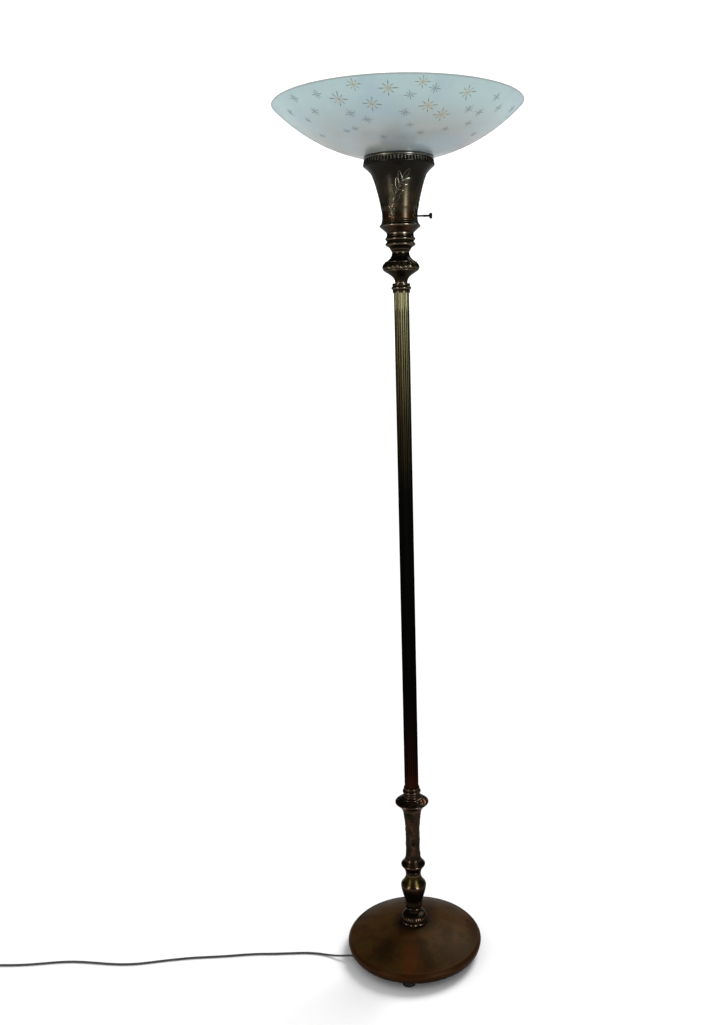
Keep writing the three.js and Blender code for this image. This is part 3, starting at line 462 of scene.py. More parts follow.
class Finish:
    """A material being made: its node tree, its shader and the textures that it is made from."""

    def __init__(self, name):
        self.material = bpy.data.materials.new(name)
        self.material.use_nodes = True
        self.tree = self.material.node_tree
        self.shader = self.tree.nodes["Principled BSDF"]
        self.place = self.node("ShaderNodeTexCoord", output="Object")

    def node(self, kind, settings=None, inputs=None, output=0):
        made = self.tree.nodes.new(kind)
        for name, value in (settings or {}).items():
            if name == "stops":
                self.set_stops(made.color_ramp, value)
            else:
                setattr(made, name, value)
        for key, value in (inputs or {}).items():
            if isinstance(value, Signal):
                self.tree.links.new(value.socket, made.inputs[key])
            else:
                made.inputs[key].default_value = value
        return Signal(self, made.outputs[output])

    @staticmethod
    def set_stops(ramp, stops):
        while len(ramp.elements) < len(stops):
            ramp.elements.new(0.5)
        for element, (position, colour) in zip(ramp.elements, stops):
            element.position = position
            element.color = (*colour, 1)

    def mixed(self, first, second, factor):
        """The first colour where the factor is 0, the second where it is 1."""
        first, second = (c if isinstance(c, Signal) else (*c[:3], 1) for c in (first, second))
        return self.node(
            "ShaderNodeMix", {"data_type": "RGBA"}, {"Factor": factor, 6: first, 7: second}, output=2
        )

    def noise(self, scale, detail=4.0, roughness=0.55, stretch=None):
        """Noise from 0 to 1 with cells of about 1/scale metres, stretched along the axes if asked."""
        place = self.place
        if stretch:
            place = self.node("ShaderNodeMapping", inputs={"Vector": place, "Scale": stretch})
        return self.node(
            "ShaderNodeTexNoise",
            inputs={"Vector": place, "Scale": scale, "Detail": detail, "Roughness": roughness},
        )

    def relief(self):
        """How far the surface stands up from what is round it, in millimetres."""
        return self.node("ShaderNodeAttribute", {"attribute_name": "relief"}, output="Fac")

    def height(self):
        """Height above the floor, in metres."""
        return self.node("ShaderNodeSeparateXYZ", inputs={0: self.place}, output="Z")

    def bump(self, height, strength, distance):
        return self.node(
            "ShaderNodeBump", inputs={"Height": height, "Strength": strength, "Distance": distance}
        )

    def wire(self, **sockets):
        """Sets or links the shader's own sockets, named with _ for a space."""
        for name, value in sockets.items():
            socket = self.shader.inputs[name.replace("_", " ")]
            if isinstance(value, Signal):
                self.tree.links.new(value.socket, socket)
            elif hasattr(value, "__len__"):
                socket.default_value = (*value[:3], 1)
            else:
                socket.default_value = value
        return self.material


# ---------------------------------------------------------------- finishes


def cast_bronze(name, face, high, red=0.0, lacquer=0.0, painted_shade_mouth=False):
    """Dark patina over cast metal: mottled faces, black hollows and brass on the high edges.

    Red is how much red brown clouds the faces, and a dark mouth paints shade over the top of the husk's
    flare, which faces down, and clouds its foot red brown.
    """
    look = bpy.context.scene.lamp_metal
    finish = Finish(name)
    relief = finish.relief()
    clouds = finish.noise(55, detail=5)
    grain = finish.noise(420, detail=3)
    streaks = finish.noise(90, detail=3, stretch=(1, 1, 0.25))
    face = finish.mixed(face, look.red, clouds.between(0.45, 0.75) * red) if red else face
    faces = finish.mixed(look.dark, face, clouds.between(0.25, 0.62))
    faces = finish.mixed(faces, look.olive, streaks.between(0.58, 0.82) * 0.35)
    if painted_shade_mouth:
        mouth, foot = head("husk") * MM, seat("husk") * MM
        # Painted shade: the top of the flare, which faces down, is darkened towards the mouth.
        upper = finish.height().between(mouth - 0.060, mouth - 0.030)
        faces = finish.mixed(faces, look.dark, upper * 0.8)
        low = 1 - finish.height().between(foot + 0.020, foot + 0.060)
        faces = finish.mixed(faces, (0.030, 0.012, 0.004), low * clouds.between(0.35, 0.6) * 0.8)
    hollow = (0 - relief).between(0.02, 0.30)
    worn = (relief + (grain - 0.5) * 0.16).between(0.10, 0.42)
    colour = finish.mixed(faces, look.dark, hollow * 0.85)
    colour = finish.mixed(colour, high, worn * (0.25 + clouds * 0.5))
    return finish.wire(
        Base_Color=colour,
        Metallic=0.95,
        Specular_Tint=(0.5, 0.5, 0.5),
        Roughness=0.30 - worn * 0.08 + hollow * 0.25 + (grain - 0.5) * 0.12,
        Coat_Weight=lacquer,
        Coat_Roughness=0.22,
        Normal=finish.bump(grain * 0.4 + clouds, 0.25, 0.4 * MM),
    )


def tube_bronze():
    """The reeded tube: olive brass at the top, near black in the middle and red brown at the foot, a
    painted reflection graded by height.
    """
    look = bpy.context.scene.lamp_metal
    finish = Finish("tube_bronze")
    low, high = seat("reeded_tube") * MM, head("reeded_tube") * MM
    climb = {"Value": finish.height(), "From Min": low, "From Max": high}
    up = finish.node("ShaderNodeMapRange", inputs=climb)
    clouds = finish.noise(30, detail=5, stretch=(1, 1, 0.3))
    fine = finish.noise(300, detail=3, stretch=(1, 1, 0.06))
    black = (0.0014, 0.0013, 0.001)
    # Painted reflection: these colours by height stand in for what the tube mirrors, from red brown at
    # the foot through black to olive brass at the top.
    stops = [
        (0.0, (0.020, 0.005, 0.003)),
        (0.12, (0.006, 0.003, 0.002)),
        (0.22, black),
        (0.62, black),
        (0.76, (0.012, 0.009, 0.004)),
        (0.88, (0.034, 0.029, 0.011)),
        (1.0, (0.075, 0.073, 0.034)),
    ]
    body = finish.node("ShaderNodeValToRGB", {"stops": stops}, {"Fac": up + (clouds - 0.5) * 0.06})
    relief = finish.relief()
    crest = relief.between(0.02, 0.28)
    colour = finish.mixed(black, body, 0.06 + crest * 0.94)
    # Rubbed brass on the reeds' crests near the top: partly wear, partly a painted highlight where the
    # top of the tube is lit.
    rub_and_sheen = (up.between(0.72, 1.0) * crest * fine.between(0.3, 0.7)) * 0.4
    colour = finish.mixed(colour, look.rubbed, rub_and_sheen)
    return finish.wire(
        Base_Color=colour,
        Metallic=1.0,
        Specular_Tint=(0.3, 0.3, 0.3),
        Roughness=0.36 + (fine - 0.5) * 0.2,
        Normal=finish.bump(fine, 0.12, 0.3 * MM),
    )


def spun_bronze():
    """Lacquered sheet metal of the base: mottled olive and red brown, pitted, with a painted reflection
    of the stem at the front.
    """
    look = bpy.context.scene.lamp_metal
    finish = Finish("spun_bronze")
    clouds = finish.noise(13, detail=8, roughness=0.66)
    patches = finish.noise(30, detail=7, roughness=0.7)
    grain = finish.noise(240, detail=4)
    across = finish.node("ShaderNodeSeparateXYZ", inputs={0: finish.place}, output="X")
    along = finish.node("ShaderNodeSeparateXYZ", inputs={0: finish.place}, output="Y")
    radius = (across * across + along * along) ** 0.5
    olive_brown = (0.040, 0.021, 0.005)
    red_brown = (0.044, 0.012, 0.002)
    orange_brown = (0.026, 0.009, 0.002)
    colour = finish.mixed(olive_brown, red_brown, patches.between(0.38, 0.66) * 0.7)
    colour = finish.mixed(colour, (0.012, 0.007, 0.002), clouds.between(0.40, 0.60) * 0.75)
    front = finish.node("ShaderNodeMath", {"operation": "ARCTAN2"}, {0: along, 1: across}) - FRONT
    # Painted reflection of the stem: a red brown streak on the front of the dome, below the stem.
    stem_reflection = (1 - (front * front) ** 0.5 * 3.2).between(0.0, 1.0) * radius.between(0.05, 0.09)
    colour = finish.mixed(colour, (0.055, 0.013, 0.002), stem_reflection * patches.between(0.25, 0.55) * 0.7)
    shadow = 1 - radius.between(0.028, 0.052)
    colour = finish.mixed(colour, look.dark, shadow * 0.6)
    edge = radius.between(0.126, 0.133)
    colour = finish.mixed(colour, orange_brown, edge * (0.4 + patches * 0.6))
    cells = {"Vector": finish.place, "Scale": 38.0, "Randomness": 1.0}
    pits = finish.node("ShaderNodeTexVoronoi", {"feature": "F1"}, cells)
    spot = (1 - pits.between(0.06, 0.13)) * patches.between(0.52, 0.6)
    colour = finish.mixed(colour, look.dark, spot * 0.8)
    relief = finish.relief()
    # Painted highlight: raised edges such as the shoulder bead are lighter brown.
    colour = finish.mixed(colour, (0.05, 0.022, 0.009), relief.between(0.2, 0.5) * 0.5)
    low = 1 - finish.height().between(0.017, 0.024)
    colour = finish.mixed(colour, look.dark, low * patches.between(0.35, 0.55) * 0.9)
    return finish.wire(
        Base_Color=colour,
        Metallic=0.15,
        Specular_IOR_Level=0.04,
        Specular_Tint=(0.6, 0.45, 0.35),
        Roughness=0.42 + (clouds - 0.5) * 0.15 + spot * 0.3,
        Normal=finish.bump(clouds + patches * 0.5 - spot * 1.2 + grain * 0.1, 0.35, 0.5 * MM),
    )


def frosted_glass():
    """Pale blue-green glass, frosted, lighter at its rim, and grey lower down with painted shade."""
    look = bpy.context.scene.lamp_shade
    finish = Finish("frosted_glass")
    rim = head("glass_shade") * MM
    clouds = finish.noise(11, detail=3)
    grain = finish.noise(900, detail=2)
    height = finish.height()
    low = 1 - height.between(rim - 0.075, rim - 0.012)
    near_collar = 1 - height.between(rim - 0.075, rim - 0.060)
    # Painted shade: the glass turns grey lower down, towards the collar and the dark inside of the bowl.
    colour = finish.mixed(look.tint, (0.300, 0.308, 0.290), low * 0.9)
    colour = finish.mixed(colour, (0.300, 0.435, 0.520), clouds.between(0.45, 0.7) * 0.5)
    edge = height.between(rim - 0.003, rim - 0.001)
    colour = finish.mixed(colour, (0.30, 0.35, 0.34), edge)
    return finish.wire(
        Base_Color=colour,
        Roughness=0.38 + (grain - 0.5) * 0.1,
        IOR=1.45,
        Alpha=0.88 - near_collar * 0.26,
        Coat_Weight=0.15,
        Coat_Roughness=0.12,
        Normal=finish.bump(grain, 0.08, 0.2 * MM),
    )


def plain(name, colour, roughness, metallic=0.0, scale=60.0, varied=0.25, bump=0.1, **more):
    """A finish of one colour with its small clouds and grain."""
    finish = Finish(name)
    clouds = finish.noise(scale, detail=5)
    grain = finish.noise(scale * 9, detail=3)
    shade = tuple(c * (1 - varied) for c in colour)
    light = tuple(min(1.0, c * (1 + varied)) for c in colour)
    mixed = finish.mixed(shade, light, clouds.between(0.3, 0.7))
    return finish.wire(
        Base_Color=mixed,
        Metallic=metallic,
        Roughness=roughness + (clouds - 0.5) * 0.2 + (grain - 0.5) * 0.08,
        Normal=finish.bump(grain, bump, 0.3 * MM),
        **more,
    )


def make_finishes():
    look = bpy.context.scene.lamp_metal
    shade = bpy.context.scene.lamp_shade
    cord = bpy.context.scene.lamp_cord
    pale_brass = (0.26, 0.24, 0.18)
    black = (0.004, 0.004, 0.004)
    soft_black = (0.006, 0.006, 0.006)
    return {
        "upper_bronze": cast_bronze("upper_bronze", look.brown, look.rubbed),
        "lower_bronze": cast_bronze("lower_bronze", look.brown, (0.085, 0.050, 0.032), red=1.0),
        "husk_bronze": cast_bronze("husk_bronze", (0.014, 0.011, 0.004), pale_brass, 0.25, 0.10, True),
        "collar_brass": cast_bronze("collar_brass", (0.036, 0.024, 0.006), (0.10, 0.07, 0.03)),
        "tube_bronze": tube_bronze(),
        "spun_bronze": spun_bronze(),
        "frosted_glass": frosted_glass(),
        "star_gold": plain("star_gold", shade.gold, 0.35, 0.6, scale=300, varied=0.3),
        "star_ray": plain("star_ray", shade.ray, 0.5, 0.2, scale=300, varied=0.3),
        "bright_brass": plain("bright_brass", (0.62, 0.45, 0.20), 0.28, 1.0, varied=0.2),
        "aged_brass": plain("aged_brass", (0.085, 0.080, 0.066), 0.24, 0.95, varied=0.35),
        "cast_iron": plain("cast_iron", (0.035, 0.032, 0.030), 0.72, 0.5, varied=0.3, bump=0.5),
        "plated_steel": plain("plated_steel", (0.45, 0.45, 0.43), 0.34, 1.0, varied=0.15),
        # Painted shade: the bulb's white glass is given a mid grey, as it looks in the dim inside of the
        # bowl.
        "bulb_glass": plain("bulb_glass", (0.22, 0.21, 0.20), 0.32, varied=0.04),
        "bakelite": plain("bakelite", black, 0.36, varied=0.2, bump=0.04, Specular_IOR_Level=0.1),
        "rubber": plain("rubber", soft_black, 0.62, varied=0.25, bump=0.2, Specular_IOR_Level=0.2),
        "cord_cover": plain("cord_cover", cord.colour, 0.55, scale=140, varied=0.2, bump=0.08),
        "fibre": plain("fibre", (0.13, 0.11, 0.09), 0.85, varied=0.2, bump=0.3),
        "felt": plain("felt", (0.02, 0.021, 0.017), 0.95, scale=200, bump=0.6),
        "porcelain": plain("porcelain", (0.80, 0.76, 0.68), 0.25, varied=0.04, bump=0.04),
    }


# ---------------------------------------------------------------- the view and the stage


class LAMP_OT_view(bpy.types.Operator):
    """Adds the camera that looks at the lamp from the front"""

    bl_idname = "lamp.view"
    bl_label = "Camera"

    def execute(self, context):
        view = context.scene.lamp_view
        bpy.ops.object.camera_add()
        camera = context.object
        camera.name = "camera"
        ahead = Vector(
            (
                math.sin(view.turn) * math.cos(view.tilt),
                math.cos(view.turn) * math.cos(view.tilt),
                -math.sin(view.tilt),
            )
        )
        right = ahead.cross(Vector((0, 0, 1))).normalized()
        up = right.cross(ahead)
        rolled_right = math.cos(view.roll) * right + math.sin(view.roll) * up
        rolled_up = -math.sin(view.roll) * right + math.cos(view.roll) * up
        camera.matrix_world = Matrix.Translation((0, -view.distance, view.height)) @ Matrix(
            (rolled_right, rolled_up, -ahead)
        ).transposed().to_4x4()
        camera.data.sensor_width = 36
        camera.data.lens = view.lens
        camera.data.shift_x = view.shift
        camera.data.clip_start = 0.01
        camera.data.clip_end = 200
        context.scene.camera = camera
        return {"FINISHED"}


class LAMP_OT_stage(bpy.types.Operator):
    """Adds the pale floor and the soft studio light"""

    bl_idname = "lamp.stage"
    bl_label = "Floor and light"

    def execute(self, context):
        clear_selection()
        bpy.ops.mesh.primitive_circle_add(vertices=96, radius=60, fill_type="NGON", location=(0, 0, 0))
        floor = named(context.object, "floor")
        pale = (0.95, 0.95, 0.95)
        surface = plain("pale_floor", pale, 0.9, scale=2, varied=0.01, bump=0.0, Specular_IOR_Level=0.0)
        floor.data.materials.append(surface)
        warm, cool = (1, 0.98, 0.94), (0.86, 0.94, 1)
        self.add_softbox("left_softbox", azimuth=-137, height=1.25, size=(0.6, 1.8), power=40, tint=warm)
        self.add_softbox("right_softbox", azimuth=-54, height=1.4, size=(0.5, 1.5), power=96, tint=cool)
        self.add_sun()
        world = bpy.data.worlds.new("studio")
        world.use_nodes = True
        nodes, links = world.node_tree.nodes, world.node_tree.links
        path = nodes.new("ShaderNodeLightPath")
        room = nodes.new("ShaderNodeMapRange")  # shiny surfaces mirror a dimmer room
        room.inputs["To Min"].default_value = 0.62
        room.inputs["To Max"].default_value = 0.12
        seen = nodes.new("ShaderNodeMapRange")  # the camera sees a white one
        seen.inputs["To Max"].default_value = 1.3
        links.new(path.outputs["Is Glossy Ray"], room.inputs["Value"])
        links.new(path.outputs["Is Camera Ray"], seen.inputs["Value"])
        links.new(room.outputs["Result"], seen.inputs["To Min"])
        links.new(seen.outputs["Result"], nodes["Background"].inputs["Strength"])
        nodes["Background"].inputs["Color"].default_value = (1, 1, 1, 1)
        context.scene.world = world
        context.scene.view_settings.view_transform = "Standard"
        return {"FINISHED"}

    @staticmethod
    def add_sun():
        """Broad light from high behind, which lays a soft shadow on the floor before the base."""
        bpy.ops.object.light_add(type="SUN", rotation=(math.radians(-32), math.radians(28), 0))
        sun = bpy.context.object
        sun.name = "back_light"
        sun.data.energy = 2.2
        sun.data.angle = math.radians(28)

    @staticmethod
    def add_softbox(name, azimuth, height, size, power, tint, distance=2.6):
        """An area light that stands round the lamp and faces the top of its stem."""
        angle = math.radians(azimuth)
        place = Vector((distance * math.cos(angle), distance * math.sin(angle), height))
        turn = (Vector((0, 0, height)) - place).to_track_quat("-Z", "Y").to_euler()
        bpy.ops.object.light_add(type="AREA", location=place, rotation=turn)
        light = bpy.context.object
        light.name = name
        light.data.shape = "RECTANGLE"
        light.data.size, light.data.size_y = size
        light.data.energy = power
        light.data.color = tint
        light.visible_diffuse = False  # it is there for the metal's highlights


# ---------------------------------------------------------------- the cord

CORD_EXIT = (-0.127, -0.0386, 0.011)
CORD_ROUTE = [
    CORD_EXIT,
    (-0.131, -0.0381, 0.011),
    (-0.139, -0.0367, 0.0103),
    (-0.150, -0.0336, 0.0080),
    (-0.164, -0.0284, 0.0049),
    (-0.179, -0.0226, 0.0028),
    (-0.198, -0.0173, 0.0021),
    (-0.222, -0.0140, 0.0021),
    (-0.256, -0.0142, 0.0021),
    (-0.289, -0.0149, 0.0021),
    (-0.322, -0.0146, 0.0021),
    (-0.352, -0.0162, 0.0021),
    (-0.384, -0.0192, 0.0021),
    (-0.420, -0.0214, 0.0021),
    (-0.454, -0.0232, 0.0021),
    (-0.488, -0.0270, 0.0021),
    (-0.520, -0.0317, 0.0021),
    (-0.546, -0.0362, 0.0021),
    (-0.571, -0.0394, 0.0021),
    (-0.597, -0.0400, 0.0021),
    (-0.625, -0.0378, 0.0021),
    (-0.656, -0.0336, 0.0021),
    (-0.688, -0.0298, 0.0021),
    (-0.712, -0.0287, 0.0021),
    (-0.736, -0.0299, 0.0021),
    (-0.758, -0.0322, 0.0021),
    (-0.781, -0.0345, 0.0021),
    (-0.804, -0.0361, 0.0021),
    (-0.828, -0.0364, 0.0021),
    (-0.850, -0.0359, 0.0021),
    (-0.872, -0.0357, 0.0024),
]
COIL_CENTRE = (-0.897, -0.0587)
COIL_ENTRY = 23 * MM
COIL_ENTRY_HEIGHT = 2.6 * MM
COIL_FLOOR = 3.7 * MM  # height of the lowest turns' centres, above the tie
COIL_LAYER = 4.2 * MM
COIL_SLOTS = [29, 25, 21, 17, 17, 21, 25, 29, 21, 25, 29]  # radius of each turn in millimetres
COIL_LAYERS = [0, 0, 0, 0, 1, 1, 1, 1, 2, 2, 2]
LEAD_TURN = 33.5 * MM
LEAD_END = (-0.9305, -0.0970, 0.0061)


def coil_points(steps=48, shift=0.3, first_shift=0.22, last_shift=0.25):
    """The stored turns: each holds its own radius and layer, and moves to the next in part of a turn."""
    radii = [COIL_ENTRY, *[slot * MM for slot in COIL_SLOTS], LEAD_TURN]
    layers = [COIL_FLOOR + COIL_LAYER * layer for layer in COIL_LAYERS]
    heights = [CORD_ROUTE[-1][2], *layers, LEAD_END[2]]
    turns = len(COIL_SLOTS)
    shifts = [first_shift] + [shift] * (turns - 1) + [last_shift]
    points = []
    for step in range(1, int((turns + last_shift) * steps) + 1):
        travelled = step / steps
        turn = min(int(travelled), turns)
        part = step_between(travelled - turn, 0.0, shifts[turn])
        radius = radii[turn] + (radii[turn + 1] - radii[turn]) * part
        height = heights[turn] + (heights[turn + 1] - heights[turn]) * part
        angle = math.pi / 2 + travelled * math.tau
        x, y = COIL_CENTRE[0] + radius * math.cos(angle), COIL_CENTRE[1] + radius * math.sin(angle)
        points.append((x, y, height))
    return points


class LAMP_OT_cord(bpy.types.Operator):
    """Lays the cord from the base to its stored coil, with its strain relief, tie and plug"""

    bl_idname = "lamp.cord"
    bl_label = "Cord and plug"

    def execute(self, context):
        settings = context.scene.lamp_cord
        coil = coil_points()
        entry = (COIL_CENTRE[0], COIL_CENTRE[1] + COIL_ENTRY, COIL_ENTRY_HEIGHT)
        points = flowing([*CORD_ROUTE, entry], 4 * MM) + [Vector(p) for p in coil]
        points += straight(coil[-1], LEAD_END, 4 * MM)[1:]
        line = bpy.data.curves.new("supply_cord", "CURVE")
        line.dimensions = "3D"
        line.bevel_depth = settings.diameter / 2
        line.bevel_resolution = 3
        line.use_fill_caps = True
        spline = line.splines.new("POLY")
        spline.points.add(len(points) - 1)
        for point, place in zip(spline.points, points):
            point.co = (*place, 1)
        cord = bpy.data.objects.new("supply_cord", line)
        context.scene.collection.objects.link(cord)
        settle(cord, "cord_cover", "cord_run", "cord_coil", "cord_lead")
        relief = self.make_strain_relief()
        tie = self.make_tie()
        plug = self.make_plug()
        blades = self.make_blades()
        return {"FINISHED"}

    @staticmethod
    def make_strain_relief():
        """A tapered rubber sleeve with rings, held under the edge of the base."""
        length, thick, thin, bore = 38.0, 4.5, 2.7, 2.25
        rings = 7
        outline = [(bore, 0), (thick - 0.6, 0), (thick, 0.7), (thick, 5.0)]
        for ring in range(rings):
            start = 6.0 + ring * 3.6
            radius = thick + (thin - thick) * start / length
            outline += [(radius - 0.7, start), (radius - 0.7, start + 1.0)]
            outline += bead(radius - 0.9, start + 2.2, 0.9, -80, 80, 5)
        outline += [(thin, length - 5), (thin, length - 0.5), (bore, length)]
        outline += [(bore, 0)]
        sleeve = turned("strain_relief", outline, 28)
        heading = math.radians(174)
        back = Vector(CORD_EXIT) - Vector((math.cos(heading), math.sin(heading), 0)) * (length * MM)
        moved(sleeve, back, (0, math.radians(90), 0))
        sleeve.data.transform(
            Matrix.Translation(back) @ Matrix.Rotation(heading, 4, "Z") @ Matrix.Translation(-back)
        )
        return settle(sleeve, "rubber", "cord_gland")

    @staticmethod
    def make_tie():
        """A flat rubber strap round the stored turns."""
        low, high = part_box("cord_tie")
        tie = block("coil_tie", (low + high) / 2, high - low)
        bpy.ops.object.mode_set(mode="EDIT")
        bpy.ops.mesh.select_mode(type="FACE")
        bpy.ops.mesh.select_all(action="DESELECT")
        bpy.ops.object.mode_set(mode="OBJECT")
        for face in tie.data.polygons:
            face.select = abs(face.normal.y) > 0.9
        bpy.ops.object.mode_set(mode="EDIT")
        bpy.ops.mesh.inset(thickness=1.05 * MM, use_individual=True)
        bpy.ops.mesh.bridge_edge_loops()
        bpy.ops.object.mode_set(mode="OBJECT")
        bevelled(tie, 0.8 * MM, 3)
        soften(tie)
        return settle(tie, "rubber", "cord_tie")

    @staticmethod
    def make_plug():
        """A moulded two-blade plug with a waist for the fingers and a sleeve at the cord's end."""
        low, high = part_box("plug_body")
        size, centre = high - low, (low + high) / 2
        plug = block("plug", centre, (size.x * 0.5, size.y, size.z * 0.75))
        bpy.ops.object.mode_set(mode="EDIT")
        bpy.ops.mesh.select_all(action="SELECT")
        bpy.ops.mesh.subdivide(number_cuts=9)
        bpy.ops.object.mode_set(mode="OBJECT")
        places = places_of(plug)
        along = (places[:, 1] - low.y) / size.y  # 0 at the blades, 1 at the cord
        swell = 1 + np.interp(along, [0, 0.12, 0.45, 0.7, 1], [0.9, 1.0, 0.72, 0.8, 0.02])
        places[:, 0] = centre.x + (places[:, 0] - centre.x) * swell
        depth = np.interp(along, [0, 0.1, 0.5, 0.8, 1], [1.2, 1.33, 1.2, 1.05, 0.8])
        places[:, 2] = centre.z + (places[:, 2] - centre.z) * depth
        put_places(plug, places)
        bevelled(plug, 1.2 * MM, 3, 50)
        soften(plug, 50)
        return settle(plug, "bakelite", "plug_body")

    @staticmethod
    def make_blades():
        """Two flat brass blades with rounded edges."""
        blades = []
        for node in ("plug_blade_1", "plug_blade_2"):
            low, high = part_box(node)
            blade = block(node.replace("plug_", ""), (low + high) / 2, high - low)
            bevelled(blade, 0.5 * MM, 3)
            soften(blade)
            blades.append(settle(blade, "bright_brass", node))
        return blades


# ---------------------------------------------------------------- the glass bowl

# Stars on the front half, as azimuth in degrees, height above the floor in millimetres and size.
# The back half repeats them turned half round.
LARGE, MEDIUM, SMALL, FAINT = 1.0, 0.8, 0.66, 0.5
STARS = [
    (-119, 1625, LARGE),
    (-103, 1615, LARGE),
    (-94, 1632, LARGE),
    (-74, 1612, LARGE),
    (-64, 1603, LARGE),
    (-56, 1631, LARGE),
    (-79, 1639, MEDIUM),
    (-109, 1639, MEDIUM),
    (-144, 1638, SMALL),
    (-129, 1635, SMALL),
    (-138, 1617, SMALL),
    (-117, 1607, SMALL),
    (-109, 1598, SMALL),
    (-84, 1624, SMALL),
    (-86, 1604, SMALL),
    (-73, 1632, SMALL),
    (-49, 1613, SMALL),
    (-40, 1612, SMALL),
    (-37, 1633, SMALL),
    (-28, 1623, SMALL),
    (-158, 1627, SMALL),
    (-12, 1631, SMALL),
    (-150, 1611, FAINT),
    (-129, 1589, FAINT),
    (-121, 1590, FAINT),
    (-82, 1590, FAINT),
    (-54, 1588, FAINT),
    (-40, 1598, FAINT),
    (-103, 1578, FAINT),
    (-72, 1582, FAINT),
    (-157, 1592, FAINT),
    (-20, 1590, FAINT),
]


def bowl_sphere():
    """Radius and height of the centre of the sphere that the bowl is cut from, in millimetres."""
    hole, rim = 60.8, reach("glass_shade")
    low, high = seat("glass_shade"), head("glass_shade")
    centre = (rim**2 - hole**2 + high**2 - low**2) / (2 * (high - low))
    return math.hypot(rim, high - centre), centre


class LAMP_OT_shade(bpy.types.Operator):
    """Makes the frosted bowl and the gilded stars on it"""

    bl_idname = "lamp.shade"
    bl_label = "Glass bowl"

    def execute(self, context):
        glass = context.scene.lamp_shade.glass / MM
        outer, centre = bowl_sphere()
        low, high = seat("glass_shade"), head("glass_shade")
        bowl = turned("glass_bowl", self.bowl_outline(outer, centre, glass, low, high), 160)
        settle(bowl, "frosted_glass", "glass_shade", body="shade")
        rays = self.make_strokes("ray", 8, (0.02, 1.0), 1.25, [1.0, 0.74, 0.92, 0.8])
        strokes = self.make_strokes("heart", 8, (0.10, 0.58), 1.0, [1.0, 0.8])
        laid_rays, laid_hearts = [], []
        for half in (0, 180):
            for azimuth, height, size in STARS:
                place = (azimuth + half, height, size, outer, centre)
                laid_rays.append(self.lay_star(rays, *place, 0.10))
                if size > SMALL:
                    laid_hearts.append(self.lay_star(strokes, *place, 0.24))
        laid_rays = thickened(joined(laid_rays, "star_rays"), 0.07 * MM)
        laid_hearts = thickened(joined(laid_hearts, "star_hearts"), 0.10 * MM)
        settle(laid_rays, "star_ray", slot="frosted_glass", body="shade")
        settle(laid_hearts, "star_gold", slot="frosted_glass", body="shade")
        bpy.data.objects.remove(rays)
        bpy.data.objects.remove(strokes)
        return {"FINISHED"}

    @staticmethod
    def make_strokes(name, count, ends, width, lengths):
        """A fan of pointed strokes round the origin, as large as a large star, to copy stars from."""
        radius = bpy.context.scene.lamp_shade.star
        start, end = ends[0] * radius, ends[1] * radius
        clear_selection()
        bpy.ops.mesh.primitive_circle_add(vertices=6, radius=1, fill_type="NGON")
        pattern = named(bpy.context.object, name)
        places = places_of(pattern)
        places[:, 0] = start + (end - start) * (places[:, 0] + 1) / 2
        places[:, 1] *= width * MM / 2
        put_places(pattern, places)
        bpy.ops.object.mode_set(mode="EDIT")
        bpy.ops.mesh.select_all(action="SELECT")
        last = math.tau * (count - 1) / count
        bpy.ops.mesh.spin(steps=count - 1, angle=last, dupli=True, axis=(0, 0, 1))
        bpy.ops.object.mode_set(mode="OBJECT")
        places = places_of(pattern)
        cell = np.round(np.arctan2(places[:, 1], places[:, 0]) / (math.tau / count)).astype(int)
        places[:, :2] *= np.array(lengths)[cell % len(lengths)][:, None]
        put_places(pattern, places)
        return pattern

    @staticmethod
    def bowl_outline(outer, centre, glass, low, high):
        """The bowl's wall between two spheres, with a rounded rim and a ground edge at the hole."""
        inner = outer - glass

        def on_sphere(radius, height):
            return (math.sqrt(radius**2 - (height - centre) ** 2), height)

        steps, rim_height, hole_bevel = 40, 2.0, 2.4
        rise = high - rim_height - low
        outside = [on_sphere(outer, low + rise * step / steps) for step in range(steps + 1)]
        rise -= hole_bevel
        inside = [on_sphere(inner, low + hole_bevel + rise * step / steps) for step in range(steps + 1)]
        rim = [
            on_sphere(outer, high - 1.0),
            (on_sphere(outer, high)[0] - 0.5, high - 0.2),
            ((on_sphere(outer, high)[0] + on_sphere(inner, high)[0]) / 2, high),
            (on_sphere(inner, high)[0] + 0.5, high - 0.2),
            on_sphere(inner, high - 1.0),
        ]
        hole = outside[0][0]
        return [*outside, *rim, *reversed(inside), (hole, low + 1.6), outside[0]]

    @staticmethod
    def lay_star(pattern, azimuth, height, size, outer, centre, lift):
        """A copy of the pattern, scaled and laid on the bowl's outside."""
        star = copied(pattern, "star")
        turn = math.radians((azimuth * 37 + height * 11) % 30 - 15)
        places = places_of(star) / MM * size
        across = places[:, 0] * math.cos(turn) - places[:, 1] * math.sin(turn)
        along = places[:, 0] * math.sin(turn) + places[:, 1] * math.cos(turn)
        axis = math.radians(azimuth)
        distance = math.sqrt(outer**2 - (height - centre) ** 2)
        outward = Vector((distance * math.cos(axis), distance * math.sin(axis), height - centre))
        outward.normalize()
        side = Vector((-math.sin(axis), math.cos(axis), 0))
        spread = np.outer(across, side) + np.outer(along, outward.cross(side))
        spread += np.array(outward) * outer
        spread /= np.linalg.norm(spread, axis=1)[:, None]
        put_places(star, (spread * (outer + lift) + np.array((0, 0, centre))) * MM)
        return star


# ---------------------------------------------------------------- the head


def spray(stem, count, length, width, spread=34):
    """Leaves either side of a stem: how far across and up, direction in degrees, length and width."""
    path = flowing(stem, 1.0)
    leaves = []
    for number in range(count):
        index = int((number + 0.6) / count * (len(path) - 3))
        place, heading = path[index], path[index + 2] - path[index]
        forward = math.degrees(math.atan2(heading[1], heading[0]))
        for side in (-1, 1):
            grown = 0.8 + 0.35 * number / count + 0.06 * side
            leaves.append((*place, forward + side * spread, length * grown, width))
    leaves.append((*path[-1], forward, length * 1.1, width))
    return leaves


